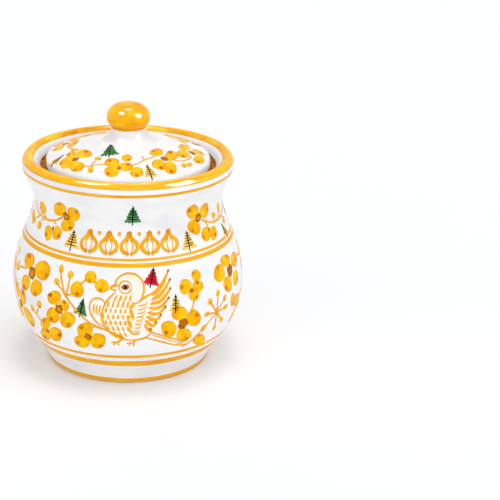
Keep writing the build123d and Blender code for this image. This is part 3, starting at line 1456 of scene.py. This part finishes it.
BELLY_FRONT = (
    *stems(
        LINE_WIDTH,
        ((-70, 69.5), (-62, 71.5)), ((-31.5, 64.5), (-33.5, 70), (-36, 77.5)),
        ((-31, 65.5), (-30.5, 71), (-30, 76)), ((-31.5, 64.5), (-34, 68), (-37, 70.5)),
        ((-31.5, 64.5), (-29, 66), (-27, 67)), ((-24.5, 73), (-21, 76.5)), ((-17.5, 76), (-15.5, 75.5)),
    ),
    *stems(1.5, ((-31.5, 64.5), (-27.5, 59.5), (-23.5, 54.5), (-17, 48.5), (-10, 45.5), (-2, 40.5))),
    *stems(
        LINE_WIDTH,
        ((-18, 46), (-16, 48)), ((-45.5, 41), (-50.5, 45), (-49, 50)), ((-50.5, 45), (-53, 47.5)),
        ((33.5, 70.5), (35, 74)), ((33, 62.5), (32.5, 58), (31, 54.5)),
        ((48, 47.5), (44, 43.5), (40, 39), (33, 31.5), (28, 29)), ((71, 45), (78, 50), (84, 54)),
        ((61.5, 70.5), (72, 74), (82, 72.5)), ((-85, 62), (-80, 69), (-78, 74.5)),
        ((84, 54), (86, 66), (87.5, 74)), ((87, 70), (90.5, 73.5), (93, 76)),
        ((97, 56), (101, 50), (103, 46.5)), ((100, 51.5), (99, 47.5)), ((-96, 54), (-101, 47), (-104, 42)),
        ((-85, 62), (-78.5, 61), (-75, 58.5)),
    ),
    Flower(
        -56, 71, 7.5,
        ((-6.5, 6, 9.5, 13.5, 100), (9.5, 4.5, 14, 12, 10), (6.5, -8, 10.5, 12.5, -65),
         (-6, -8.5, 11.5, 9.5, -150)),
    ),
    Flower(
        -35, 55, 6,
        ((-4, 6.5, 8.5, 11, 115), (4, 3, 7, 6.5, 65), (-5, -5.5, 12, 9, -125), (6, -6, 9.5, 12.5, -45)),
    ),
    Flower(-20, 39.5, 5, ((-1.5, 4.5, 9, 11.5, 135), (-4.5, -4.5, 12, 9, -130), (6, -2.5, 9.5, 12, -25))),
    Flower(-44.5, 36, 3, ((-0.5, 5.5, 7, 12, 130), (-3.5, -4, 14, 8, -135), (6.5, -0.5, 9, 13, -40))),
    Flower(
        -67, 45.5, 5.5,
        ((4.5, 6, 11, 9.5, 55), (9, -6.5, 14, 11.5, -35), (-5.5, 8, 10, 8.5, 125),
         (-6, -6.5, 10, 9.5, -135)),
    ),
    *buds(
        (-72.5, 69, 8, 5.5, 80), (-36, 80, 5.5, 3.5, 95), (-30, 78, 4.5), (-37.5, 72, 4.5, 4, 120),
        (-25.5, 70, 10, 9.5), (-19, 78.5, 8), (-13, 74, 9), (-54, 48.5, 5, 4, 130),
        (-48, 53.5, 5.5, 4.5, 80),
    ),
    Flower(32, 67.5, 3, ((-4, 3.5, 8, 9, 180), (5, 1.5, 7.5, 8, 60), (1.5, -3, 8.5, 7, -25))),
    Bud(36, 76, 7.5, 7, 335),
    Flower(
        27, 47, 7,
        ((-2.5, 7.5, 10.5, 9, 150), (8, 2, 9.5, 12, 35), (1.5, -9, 12.5, 9, -45),
         (-9.5, -2, 9.5, 12, -150)),
    ),
    Flower(
        62, 70, 7.5,
        ((-2.5, 7.5, 8, 12, 80), (10, 4, 12, 8.5, 0), (-12.5, 2, 10.5, 11.5, 135),
         (-5, -7.5, 10, 11.5, -130), (7.5, -7.5, 10, 9.5, -50)),
    ),
    Bud(63.5, 49.5, 11, 6.5, 115),
    Flower(
        75, 41, 6,
        ((-7, 5, 11, 8.5, 145), (-5.5, -6.5, 11, 8.5, -130), (6, 5.5, 10, 9, 45), (6, -6, 10, 9, -45)),
    ),
    Bud(39.5, 30.5, 14, 8, 315),
    Star(48, 47.5, ((49, 60.5), (54.5, 55), (43, 57), (41, 49), (56, 48), (54, 39.5), (49, 35.5))),
    Bud(40, 39.5, 5.5, 4, 50),
    Fir(-22.5, 60, Pigment.GREEN, 9, 11.5, -10), Fir(12, 80, Pigment.RED, 10.5, 11.5, -13),
    Fir(23, 62.5, Pigment.STRAW, 9.5, 11),
    Flower.even(91, 59, (45, 135, 225, 315), 11), Flower.even(-90, 60, (50, 140, 230, 320), 11),
    *buds((84, 73, 6, 4, 10), (-78, 77, 5, 4, 100)),
    Star(-84, 38, ((-84, 47), (-78.5, 44), (-77, 37), (-80.5, 30.5), (-88, 30), (-91, 37), (-90, 44))),
    Fir(100, 75, Pigment.GREEN, 8.5, 12), Fir(84.5, 32, Pigment.STRAW, 8.5, 11.5),
    Fir(-100, 77, Pigment.RED, 8.5, 12),
    *buds((87.5, 77, 7.5, 7, 80), (94, 78.5, 6, 5.5, 60)),
    Flower(94, 36, 4, ((0, 4, 6.5, 7.5, 90), (-4.5, -2.5, 7.5, 6.5, 210), (4.5, -2.5, 7.5, 6.5, -30))),
    *buds((99, 45, 6, 5, 80), (104, 53.5, 5.5, 4.5, 30)),
    Flower(-105.5, 38, 5, ((0, 5.5, 9, 10, 90), (-6, -3.5, 10.5, 9, 210), (6, -3.5, 10.5, 9, -30))),
    *buds(
        (-74, 57, 6.5, 6, 140), (-77.5, 66.5, 6, 5, 60), (-88, 78, 7, 6.5, 90), (-101, 62, 5.5, 4.5, 20),
    ),
    Fir(90, 104, Pigment.GREEN, 8.5, 12), Fir(-90, 104, Pigment.STRAW, 8.5, 12),
)

NECK_BACK = (
    *stems(
        LINE_WIDTH,
        ((136.5, 107.5), (127.5, 103.5), (118.5, 103), (109, 103.5), (106, 107.5), (105, 111)),
        ((117, 103), (116, 106)), ((124, 103), (123.5, 105.5)), ((124.5, 103), (123, 100.5)),
        ((115.5, 103), (113.5, 99.5)), ((143.5, 107.5), (150.5, 104.5), (159, 104)),
        ((201.5, 104), (201.5, 107), (201.5, 110)), ((202, 104), (205, 103.5), (211, 105.5), (218, 107)),
        ((225, 106.5), (232.5, 104.5), (243, 101.5), (252.5, 101.5), (262, 104.5)),
        ((238, 102.5), (239.5, 105.5)), ((250, 101.5), (252.5, 106)), ((251.5, 101.5), (250, 99.5)),
        ((240.5, 102), (239.5, 99)),
    ),
    Flower(
        140, 108.5, 6.5,
        ((-4, 5.5, 9, 13.5, 140), (7, 5, 11.5, 8.5, 55), (4.5, -6, 9, 10, -20),
         (-6.5, -7.5, 10, 10.5, -155)),
    ),
    *buds(
        (116.5, 110, 10.5, 6.5, 40), (124, 107.5, 5, 3.5, 25), (122.5, 97.5, 5, 4, 15),
        (113, 97, 7, 5, 25), (104.5, 99, 8, 4.5, 45),
    ),
    Star(159, 104, ((157, 110.5), (166, 108), (163, 101.5), (158, 94.5), (153, 97.5)), 5, 0.92),
    Star(201.5, 104, ((195, 108), (198, 100.5), (204, 94.5), (208.5, 98)), 5, 0.92),
    Flower(
        221.5, 108.5, 6,
        ((-7, 6, 12.5, 9, 125), (4, 5.5, 9.5, 13.5, 40), (6.5, -6.5, 11.5, 9, -60),
         (-3.5, -7, 9, 10, -105)),
    ),
    *buds(
        (239.5, 107, 5, 4, 125), (252, 109.5, 7.5, 5, 120), (249, 97.5, 5.5, 5, 165),
        (239, 97, 4.5, 4, 150),
    ),
)

BELLY_BACK = (
    *stems(1.5, ((167, 65.5), (169.5, 63), (175, 54), (181, 47), (189, 40), (194.5, 32))),
    *stems(
        LINE_WIDTH,
        ((194.5, 32), (193.5, 29.5), (191, 28)), ((194.5, 32), (196.5, 30), (199.5, 30)),
        ((167, 65.5), (164.5, 71), (163, 76)), ((167, 66), (168, 70.5), (168.5, 73)),
        ((167, 65.5), (163.5, 69), (161.5, 71.5)), ((169.5, 63), (170, 67), (173, 70), (178, 70.5)),
        ((169.5, 63), (167, 63), (162.5, 58.5)), ((181, 47), (180.5, 52.5)),
        ((182, 46), (178.5, 47), (177, 42)), ((189, 40), (188, 44), (190, 49)),
        ((199.5, 64.5), (197, 70), (195, 74)), ((199.5, 64.5), (200.5, 71), (200.5, 75)),
        ((199.5, 64.5), (202, 69), (204.5, 71), (209, 72)), ((199.5, 64.5), (198.5, 60)),
        ((133, 48.5), (138, 42.5), (142.5, 38)), ((224.5, 48.5), (219, 42), (212.5, 38)),
    ),
    *buds(
        (163.5, 78, 4.5, 3.5, 95), (168.5, 75, 4.5, 4, 45), (161, 73, 4.5, 3, 120), (180, 55, 5, 4.5),
        (195, 75.5, 4.5, 4, 80), (200.5, 77, 5, 4.5, 140), (108, 76, 8.5, 6, 145),
        (252.5, 75.5, 9, 6, 135),
    ),
    Flower(
        145, 72.5, 6.5,
        ((-7.5, 5, 13, 11, 180), (6.5, 6, 12, 10.5, 10), (7, -4.5, 11, 10, -20),
         (-4.5, -6.5, 11, 10, -125)),
    ),
    Flower(
        159.5, 54, 7,
        ((0, 8, 10.5, 11.5, 135), (8, -1.5, 10, 11, -35), (0, -8.5, 12.5, 9.5, -130),
         (-8.5, -2, 12.5, 10, -145)),
    ),
    Flower(
        181.5, 70.5, 6.5,
        ((-4, 6, 11.5, 11, 125), (7, 3, 10, 10.5, 70), (4.5, -7, 9, 9, -50), (-5, -5.5, 10.5, 9.5, -90)),
    ),
    Flower(
        213.5, 73, 6.5,
        ((-5, 5, 10, 9, 120), (7.5, 3.5, 10, 11, 70), (4.5, -6, 10.5, 9, -20),
         (-6.5, -6, 8.5, 10.5, -110)),
    ),
    Flower(
        196, 53, 7,
        ((-1.5, 7.5, 11, 9.5, 110), (8, 1, 9.5, 11, 30), (0.5, -8, 11.5, 9.5, -60),
         (-9.5, -1.5, 10, 11.5, -155)),
    ),
    Flower(176, 38.5, 5.5, ((-1.5, 4.5, 9.5, 11, 110), (-4, -4.5, 11, 10, -130), (6.5, -2.5, 9, 11, 10))),
    Flower(145, 35.5, 5, ((1.5, 5.5, 11.5, 7, 50), (-5, -3.5, 12.5, 9, -110), (7, -1, 9.5, 11.5, -25))),
    Flower(211, 37, 5.5, ((-0.5, 5.5, 10, 8.5, 110), (-5.5, -3, 9.5, 14.5, -145), (7, -4, 11, 9, -55))),
    Flower(
        117.5, 70, 6.5,
        ((4, 7, 10, 14.5, 100), (10.5, -2, 12.5, 10.5, 0), (3, -9.5, 10.5, 12, -30),
         (-6, -5, 12.5, 10.5, 185)),
    ),
    Flower(
        244, 69.5, 7,
        ((-4.5, 7, 14, 9.5, 170), (-11.5, -1, 11.5, 11, 175), (-3, -9.5, 11, 13, -135),
         (8, -5.5, 9.5, 10.5, -20)),
    ),
    Flower.even(239.5, 43.5, (285, 80, 10, 190), 10), Flower.even(113, 44, (60, 150, 240, 330), 10),
    Star(
        133, 48.5,
        ((129, 57.5), (134.5, 58), (139.5, 54), (143, 48), (132.5, 37.5), (127, 41.5), (125, 51)),
    ),
    Star(224.5, 48.5, ((223, 61.5), (229, 57.5), (233.5, 51), (230, 42.5), (216.5, 47.5), (217, 56))),
    Fir(159, 78.5, Pigment.STRAW, 8, 11), Fir(164, 36, Pigment.STRAW, 8, 11),
    Fir(229, 31, Pigment.STRAW, 8, 11), Fir(134, 65, Pigment.RED, 8.5, 11),
    Fir(229, 77, Pigment.RED, 8.5, 11), Fir(211, 56, Pigment.GREEN, 8, 12),
    Fir(187.5, 32, Pigment.GREEN, 8, 11), Fir(127, 31.5, Pigment.GREEN, 8, 11),
)

LID_HALF = (
    *stems(
        1.2,
        ((-43, 44), (-38, 44.5), (-32, 43), (-27, 40.5), (-20, 39.5)), ((-32.5, 43), (-33, 37.5)),
        ((-31, 43), (-30, 45)),
    ),
    *stems(1.3, ((2, 39), (9, 37.5), (18, 34), (31, 32))),
    *stems(1.2, ((17, 34), (16, 29.5))),
    *stems(1.3, ((46, 39.5), (51, 42), (60, 43), (69, 42.5)), ((92, 39), (100, 36.5), (108, 36.5))),
    Flower(
        -53, 41, 4.5,
        ((-7.5, 1, 11, 6.5, 165), (-1, 7, 9, 13.5, 80), (-2.5, -6, 8.5, 12.5, -105),
         (7.5, -5.5, 12.5, 8, -35)),
    ),
    Flower(-8, 42, 3, ((-5, 5, 10, 9.5, 130), (4, 1.5, 8.5, 9, 35), (-4, -4, 9, 10, -155))),
    Flower(
        38.5, 36, 5,
        ((0.5, 8.5, 8, 11, 110), (7, 1, 12.5, 8.5, 25), (-7.5, -4.5, 12, 8, -130),
         (-2.5, -9.5, 13, 8, -130)),
    ),
    Flower(
        77, 41.5, 5,
        ((4.5, 6, 7, 12, 80), (-7.5, 4, 13, 7, -165), (-5.5, -6.5, 13.5, 7, -170), (6.5, -3.5, 9, 8, -30)),
    ),
    *buds(
        (-2, 31, 8, 7, 90), (6.5, 45.5, 10, 8.5, 80), (-33, 35, 5, 4, 150), (-30, 46.5, 5.5, 4, 135),
        (49, 46, 6, 3.5, 35), (54.5, 47, 5.5, 3.5, 15), (108, 35.5, 6.5, 4.5, 20),
    ),
    Fir(16.5, 44.5, Pigment.STRAW, 9, 13), Fir(-69, 47, Pigment.STRAW, 8.5, 11.5, 25),
)

LID_FIR = Fir(-31.5, 21.9, Pigment.GREEN, 11.2, 17.5, 28)


Line = tuple[tuple[Point, ...], float, Shape]
Brush = Callable[..., None]


@dataclass(frozen=True)
class Bird(Motif):
    """A small folk bird with a half-raised wing, drawn in amber line over a pale wash."""

    turn: float = 2.0
    level: float = 56.0
    eye: Point = (-4.5, 18.0)
    breast: tuple[Point, ...] = (
        (-10.4, 15.0), (-15.6, 9.4), (-18.8, 2), (-18, -6), (-13, -12.8), (-5.5, -16.6), (2, -17.2),
        (8, -15.6), (11.5, -12.2),
    )
    head: tuple[Point, ...] = (
        (-10.6, 18.4), (-9.6, 22.6), (-4.8, 26.2), (1.6, 25.9), (6, 21.8), (6.9, 16), (5.4, 10.6),
    )
    nape: tuple[Point, ...] = ((5.4, 10.6), (4.2, 9.0), (2.8, 8.2))
    beak: tuple[Line, ...] = (
        (((-8.4, 19.4), (-11.2, 18.8), (-14.2, 17.4)), 1.7, Shape.LEAF),
        (((-14.2, 17.4), (-12.2, 16.4), (-9.8, 15.8)), 1.2, Shape.EVEN),
    )
    far_wing: tuple[Point, ...] = (
        (-17, 7.2), (-18.6, 9.6), (-21.8, 10.4), (-25.2, 8.8), (-26.9, 4), (-25.4, -1.4), (-21.6, -6),
        (-17.8, -8.2),
    )
    tips: tuple[Point, ...] = (  # of the wing's long feathers
        (22.6, 27.0), (23.6, 21.4), (23.8, 15.8), (22.8, 10.2), (20.6, 4.8), (17.6, -0.4), (14.6, -5.0),
        (11.2, -9.2),
    )
    lead: tuple[Point, ...] = ((2.6, 8.0), (7.6, 11.6), (13.4, 14.6), (18.6, 20.0), (22.6, 27.0))
    scallops: tuple[Point, ...] = (  # three, each of which ends where the next one starts
        (2.8, 8.2), (-1.2, 6.2), (-0.8, 2.0), (0.6, 0.8), (-2.6, -1.4), (-2.4, -5.4), (-0.8, -6.6),
        (-2.0, -9.4), (0.8, -12.6), (4.4, -12.2),
    )
    tail: tuple[Line, ...] = (
        (((10.5, -11.5), (19, -15.5), (28, -20), (36.5, -22.6)), 1.3, Shape.EVEN),
        (((7.6, -15.6), (18, -20), (27, -24.5), (35, -26)), 1.2, Shape.EVEN),
        (((12, -14), (20, -17.8), (28, -22), (36.5, -22.8)), 0.8, Shape.EVEN),
        (((27, -24.5), (31, -24.2), (36.5, -22.8)), 0.9, Shape.EVEN),
    )

    def lay(self, painter: Painter, patch: Patch) -> None:
        """Lay the wash, then draw the body, the wing, the tail and the feet.

        Args:
            painter: Who paints it.
            patch: The sheet that it is painted on.
        """
        draw = partial(painter.stroke, patch, Pigment.LINE)
        dab = partial(painter.dab, patch)
        self._body(draw, dab)
        self._breast(draw)
        self._wing(draw, dab)
        dab(Pigment.WASH, (23.5, -19.5), (26.0, 5.4), -22)
        for line in self.tail:
            draw(*line)
        self._feet(draw)

    def _body(self, draw: Brush, dab: Brush) -> None:
        """Draw the head and its eye, the breast's outline and the folded far wing.

        Args:
            draw: Draws an amber line on the bird's sheet.
            dab: Lays a dab on it.
        """
        dab(Pigment.WASH, (-5.5, -2.0), (31.0, 26.0), 110)
        dab(Pigment.WASH, (-2.0, 17.5), (17.0, 16.0), 20)
        dab(Pigment.WASH, (-21.6, 1.0), (14.5, 9.0), 100)
        for points in (self.breast, self.head, self.nape):
            draw(points, LINE_WIDTH)
        for line in self.beak:
            draw(*line)
        draw(self.far_wing, 1.2)
        for count in range(4):
            out = -24.2 + 1.9 * count
            root, tip = (out + 0.6, 6.6 - 0.3 * count), (out + 0.8, 0.2 - 0.8 * count)
            draw((root, (out - 0.2, 3.4 - 0.4 * count), tip), 1.1, Shape.LEAF)
        right, up = self.eye
        angles = [step * math.pi / 5 for step in range(11)]
        dab(Pigment.CHALK, self.eye, (7.4, 7.6))
        draw([(right + 3.7 * math.cos(angle), up + 3.9 * math.sin(angle)) for angle in angles], 1.0)
        dab(Pigment.HEART, self.eye, (3.8, 4.6), 90)
        dab(Pigment.INK, (right + 0.1, up - 0.1), (1.9, 2.3))

    @staticmethod
    def _breast(draw: Brush) -> None:
        """Draw the breast's small feathers in rows, as far as an oval goes and the wing lets them.

        Args:
            draw: Draws an amber line on the bird's sheet.
        """
        for row in range(7):
            up = 11.0 - row * 4.0
            for count in range(7):
                right = -16.5 + count * 3.0 + (row % 2) * 1.5
                inside = ((right + 6.5) / 11.0) ** 2 + ((up + 1.5) / 14.6) ** 2 < 1
                if inside and right < 2.5 - row * 0.7:
                    tilt = -0.07 * (up + 1.0) * (1.0 if right < -4 else 0.5)
                    long = 2.1 if row < 2 else 1.6
                    feather = ((right - tilt, up + long), (right, up), (right + tilt * 1.3, up - long))
                    draw(feather, LINE_WIDTH, Shape.LEAF)

    def _wing(self, draw: Brush, dab: Brush) -> None:
        """Draw the raised wing: long feathers, short ones over their roots and a scalloped edge.

        Args:
            draw: Draws an amber line on the bird's sheet.
            dab: Lays a dab on it.
        """
        dab(Pigment.WASH, (8.0, 0.0), (26.0, 12.0), 68)
        for count, tip in enumerate(self.tips):
            root = (12.0 - 0.75 * count, 12.0 - 2.6 * count)
            sag = 1.6 + 0.25 * count
            middle = ((root[0] + tip[0]) / 2 + sag * 0.5, (root[1] + tip[1]) / 2 - sag)
            dab(Pigment.WASH, middle, (math.dist(root, tip), 4.4), 46 - 3 * count)
            draw((root, middle, tip), 1.9, Shape.LEAF)
            upper = ((root[0] + middle[0]) / 2 + 0.8, (root[1] + middle[1]) / 2 + 1.9)
            draw((root, upper, (middle[0] + 1.0, middle[1] + 2.6)), 0.8, Shape.TAPERED)
            dab(Pigment.HEART, (tip[0] - 0.3, tip[1] - 0.5), (2.2, 1.6), 60)
        draw(self.lead, 1.4)
        for count in range(8):
            start = (3.4 - 0.35 * count, 6.4 - 2.45 * count)
            end = (9.6 - 0.75 * count, 8.8 - 2.6 * count)
            middle = ((start[0] + end[0]) / 2 + 0.6, (start[1] + end[1]) / 2 - 0.9)
            draw((start, middle, end), 1.1, Shape.TAPERED)
        for first in (0, 3, 6):
            draw(self.scallops[first : first + 4], 1.3)

    @staticmethod
    def _feet(draw: Brush) -> None:
        """Draw the two feet.

        Args:
            draw: Draws an amber line on the bird's sheet.
        """
        for right, up in ((-6.5, -16.4), (2.8, -16.9)):
            ankle = (right - 2.6, up - 2.6)
            draw(((right, up), ankle), 1.4)
            for out, down in ((-4.2, -0.6), (-2.6, -2.6), (0.6, -2.8)):
                bend = (ankle[0] + out * 0.6, ankle[1] + down * 0.2)
                draw((ankle, bend, (ankle[0] + out, ankle[1] + down)), 1.05)


@dataclass(frozen=True)
class BulbRow:
    """A row of five garlic bulbs, which says what the jar keeps."""

    turns: tuple[float, ...] = (-22.5, -11.0, 0.5, 12.0, 23.5)
    level: float = 98.6
    cheek: tuple[Point, ...] = (
        (0.7, 7.2), (0.8, 4.4), (2.3, 2.2), (4.3, 0.0), (4.6, -2.9), (2.9, -5.4), (0.2, -6.4),
    )
    clove: tuple[Point, ...] = ((0.5, 2.6), (1.7, 0.2), (1.9, -2.6), (0.9, -5.2))

    def paint(self, painter: Painter) -> None:
        """Paint the bulbs, and a berry between each two.

        Args:
            painter: Who paints it.
        """
        for turn in self.turns:
            self._bulb(painter, painter.ground.patch(turn, self.level))
        for left, right in zip(self.turns, self.turns[1:]):
            middle = painter.ground.patch((left + right) / 2, self.level + 5.6)
            painter.dab(middle, Pigment.SCRIPT, (0.0, 0.0), (2.6, 2.2), 90)

    def _bulb(self, painter: Painter, patch: Patch) -> None:
        """Paint one bulb: a pale ground, its two cheeks, its cloves' lines, its roots and its neck.

        Args:
            painter: Who paints it.
            patch: The sheet that it is painted on.
        """
        draw = partial(painter.stroke, patch, Pigment.SCRIPT)
        painter.dab(patch, Pigment.WASH, (0.0, -2.0), (8.6, 9.0), 0)
        for side in (-1, 1):
            draw([(side * x * 1.08, y) for x, y in self.cheek], 2.3)
            draw([(side * x, y) for x, y in self.clove], 1.1, Shape.TAPERED)
            draw(((side * 0.7, -6.6), (side * 1.5, -7.9)), 0.7)
        draw(((0.0, 7.8), (0.3, 6.8)), 1.9, Shape.LEAF)


# ---- The keeper's pieces ----


@dataclass
class Keeper:
    """The fired pieces and everything painted on them."""

    jar: bpy.types.Object
    lid: bpy.types.Object
    knob: bpy.types.Object
    gloss: Gloss = Gloss()
    seed: int = 11

    def glaze(self) -> None:
        """Give each fired piece its glaze."""
        finishes = ((self.jar, JarGlaze()), (self.lid, LidGlaze()), (self.knob, KnobGlaze()))
        for piece, finish in finishes:
            material = finish.material()
            for slot in piece.material_slots:
                slot.material = material
            log.info("%s: glazed with %s", piece.name, material.name)

    def paint(self) -> list[bpy.types.Object]:
        """Paint the jar and the lid.

        Returns:
            The painted coats.
        """
        stencils = Stencils()
        finishes = {pigment: pigment.material(self.gloss) for pigment in Pigment}
        wall = Painter("jar", "white_glaze", Wall(self.jar), stencils, random.Random(self.seed))
        for motif in (*NECK_FRONT, *BELLY_FRONT, *NECK_BACK, *BELLY_BACK, Bird(), BulbRow()):
            motif.paint(wall)
        dome = Painter("lid", "lid_glaze", Dome(self.lid), stencils, random.Random(self.seed + 1))
        for motif in (*LID_HALF, *(motif.turned(180.0) for motif in LID_HALF), LID_FIR):
            motif.paint(dome)
        pieces = wall.join(finishes) + dome.join(finishes)
        stencils.clear()
        return pieces


# ---- Studio ----


def hang(lamp: bpy.types.Light, way: Sequence[float], place: Vector) -> bpy.types.Object:
    """Hang a lamp.

    Args:
        lamp: The lamp.
        way: Where it is, seen from what it lights.
        place: The lamp's place.

    Returns:
        The lamp's object.
    """
    holder = bpy.data.objects.new(lamp.name, lamp)
    holder.location = place
    holder.rotation_mode = "QUATERNION"
    holder.rotation_quaternion = Vector(way).to_track_quat("Z", "Y")
    bpy.context.collection.objects.link(holder)
    return holder


@dataclass(frozen=True)
class SoftBox:
    """A small soft lamp that is mirrored in the glaze and adds no light of its own."""

    name: str
    way: tuple[float, float, float]
    size: float
    watts: float
    distance: float = 1.1

    def build(self, aim: Vector) -> None:
        """Hang the lamp, looking at a point.

        Args:
            aim: The point.
        """
        lamp = bpy.data.lights.new(self.name, "AREA")
        lamp.shape = "SQUARE"
        lamp.size = self.size
        lamp.energy = self.watts
        way = Vector(self.way).normalized()
        hang(lamp, way, aim + way * self.distance).visible_diffuse = False


@dataclass(frozen=True)
class Skylight:
    """Broad, even light from one side, which isn't mirrored in the glaze."""

    name: str
    way: tuple[float, float, float]
    level: float  # light on a white face that looks straight at it, where 1 is full white
    breadth: float = 75.0

    def build(self, aim: Vector) -> None:
        """Let the light in.

        Args:
            aim: Where the lamp's own object stands.
        """
        lamp = bpy.data.lights.new(self.name, "SUN")
        lamp.energy = self.level * math.pi
        lamp.angle = math.radians(self.breadth)
        hang(lamp, self.way, aim).visible_glossy = False


@dataclass(frozen=True)
class Lantern:
    """A dim lamp inside the jar, so that its vents look into brown glaze and not into the dark."""

    name: str
    place: tuple[float, float, float]
    watts: float

    def build(self, aim: Vector) -> None:
        """Hang the lamp at its own place, whatever the others look at.

        Args:
            aim: What the other lights look at; not used here.
        """
        lamp = bpy.data.lights.new(self.name, "POINT")
        lamp.energy = self.watts
        lamp.shadow_soft_size = 0.02
        hang(lamp, (0.0, 0.0, 1.0), Vector(self.place)).visible_glossy = False


@dataclass
class Studio:
    """The table, the light and the camera."""

    aim: Vector = field(default_factory=lambda: Vector((0.0, 0.0, 0.0725)))
    distance: float = 0.993
    elevation: float = 20.5
    aside: float = 4.606  # degrees that the camera looks past the keeper, to its right
    dip: float = 0.081
    lens: float = 108.6
    ambient: float = 0.61
    floor_reach: float = 12.0
    floor_colour: Colour = srgb(238, 238, 238)
    floor_shown: Colour = (0.925, 0.947, 0.972, 1.0)
    lights: tuple[Union[SoftBox, Skylight, Lantern], ...] = (
        Skylight("overhead", (0.1, -0.06, 1.0), 0.27, 30.0),
        Skylight("right_side", (0.76, -0.6, 0.25), 0.28),
        Skylight("left_front", (-0.6, -0.75, 0.25), 0.24),
        Skylight("back", (-0.2, 0.97, 0.1), 0.2),
        Lantern("inside", (0.0, 0.0, 0.062), 0.09),
        SoftBox("right_sheen", (0.85, -0.42, 0.68), 0.5, 58.0),
        SoftBox("left_sheen", (-0.45, -0.28, 0.85), 0.4, 34.0),
        SoftBox("top_sheen", (0.0, 0.12, 1.0), 0.45, 12.0),
    )

    def build(self) -> None:
        """Set up the whole studio."""
        self._floor()
        self._world()
        for light in self.lights:
            light.build(self.aim)
        self._camera()

    def _floor(self) -> None:
        """Lay the pale table."""
        clear_selection()
        bpy.ops.mesh.primitive_plane_add(size=self.floor_reach)
        floor = bpy.context.object
        floor.name = "pale_table"
        floor.data.materials.append(self._floor_finish())

    def _floor_finish(self) -> bpy.types.Material:
        """Make the table's finish: plain white that keeps the keeper's shadow.

        Returns:
            The material.
        """
        material, bench = new_material("pale_table")
        plain, shown = (
            bench.wire("ShaderNodeBsdfDiffuse", None, {"Color": colour})
            for colour in (self.floor_colour, self.floor_shown)
        )
        surface = bench.wire("ShaderNodeMixShader", None, {0: bench.seen(), 1: plain, 2: shown})
        bench.node("ShaderNodeOutputMaterial", None, {"Surface": surface})
        return material

    def _world(self) -> None:
        """Fill the room with even light, white where it is seen."""
        world = bpy.data.worlds.new("room")
        bpy.context.scene.world = world
        world.use_nodes = True
        bench = Bench(world.node_tree)
        strength = self.ambient + bench.seen() * (1.0 - self.ambient)
        room = bench.wire("ShaderNodeBackground", None, {"Color": (1.0, 1.0, 1.0, 1.0), "Strength": strength})
        bench.node("ShaderNodeOutputWorld", None, {"Surface": room})

    def _camera(self) -> None:
        """Set up the camera, a little above the keeper and looking past it."""
        data = bpy.data.cameras.new("camera")
        data.lens = self.lens
        camera = bpy.data.objects.new("camera", data)
        rise = math.radians(self.elevation)
        back = Vector((0.0, -math.cos(rise), math.sin(rise)))
        camera.location = self.aim + back * self.distance
        level = (-back).to_track_quat("-Z", "Y")
        aside = Quaternion((0, 1, 0), -math.radians(self.aside))
        look = aside @ Quaternion((1, 0, 0), -math.radians(self.dip))
        camera.rotation_mode = "QUATERNION"
        camera.rotation_quaternion = level @ look
        bpy.context.collection.objects.link(camera)
        bpy.context.scene.camera = camera


def main() -> None:
    """Build the keeper and its studio."""
    logging.basicConfig(level=logging.INFO, format="%(message)s")
    bpy.context.scene.view_settings.view_transform = "Standard"
    keeper = Keeper(*(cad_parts[name] for name in ("jar", "lid", "knob")))
    keeper.glaze()
    coats = keeper.paint()
    log.info("painted coats: %d", len(coats))
    Studio().build()


if __name__ == "__main__":
    main()
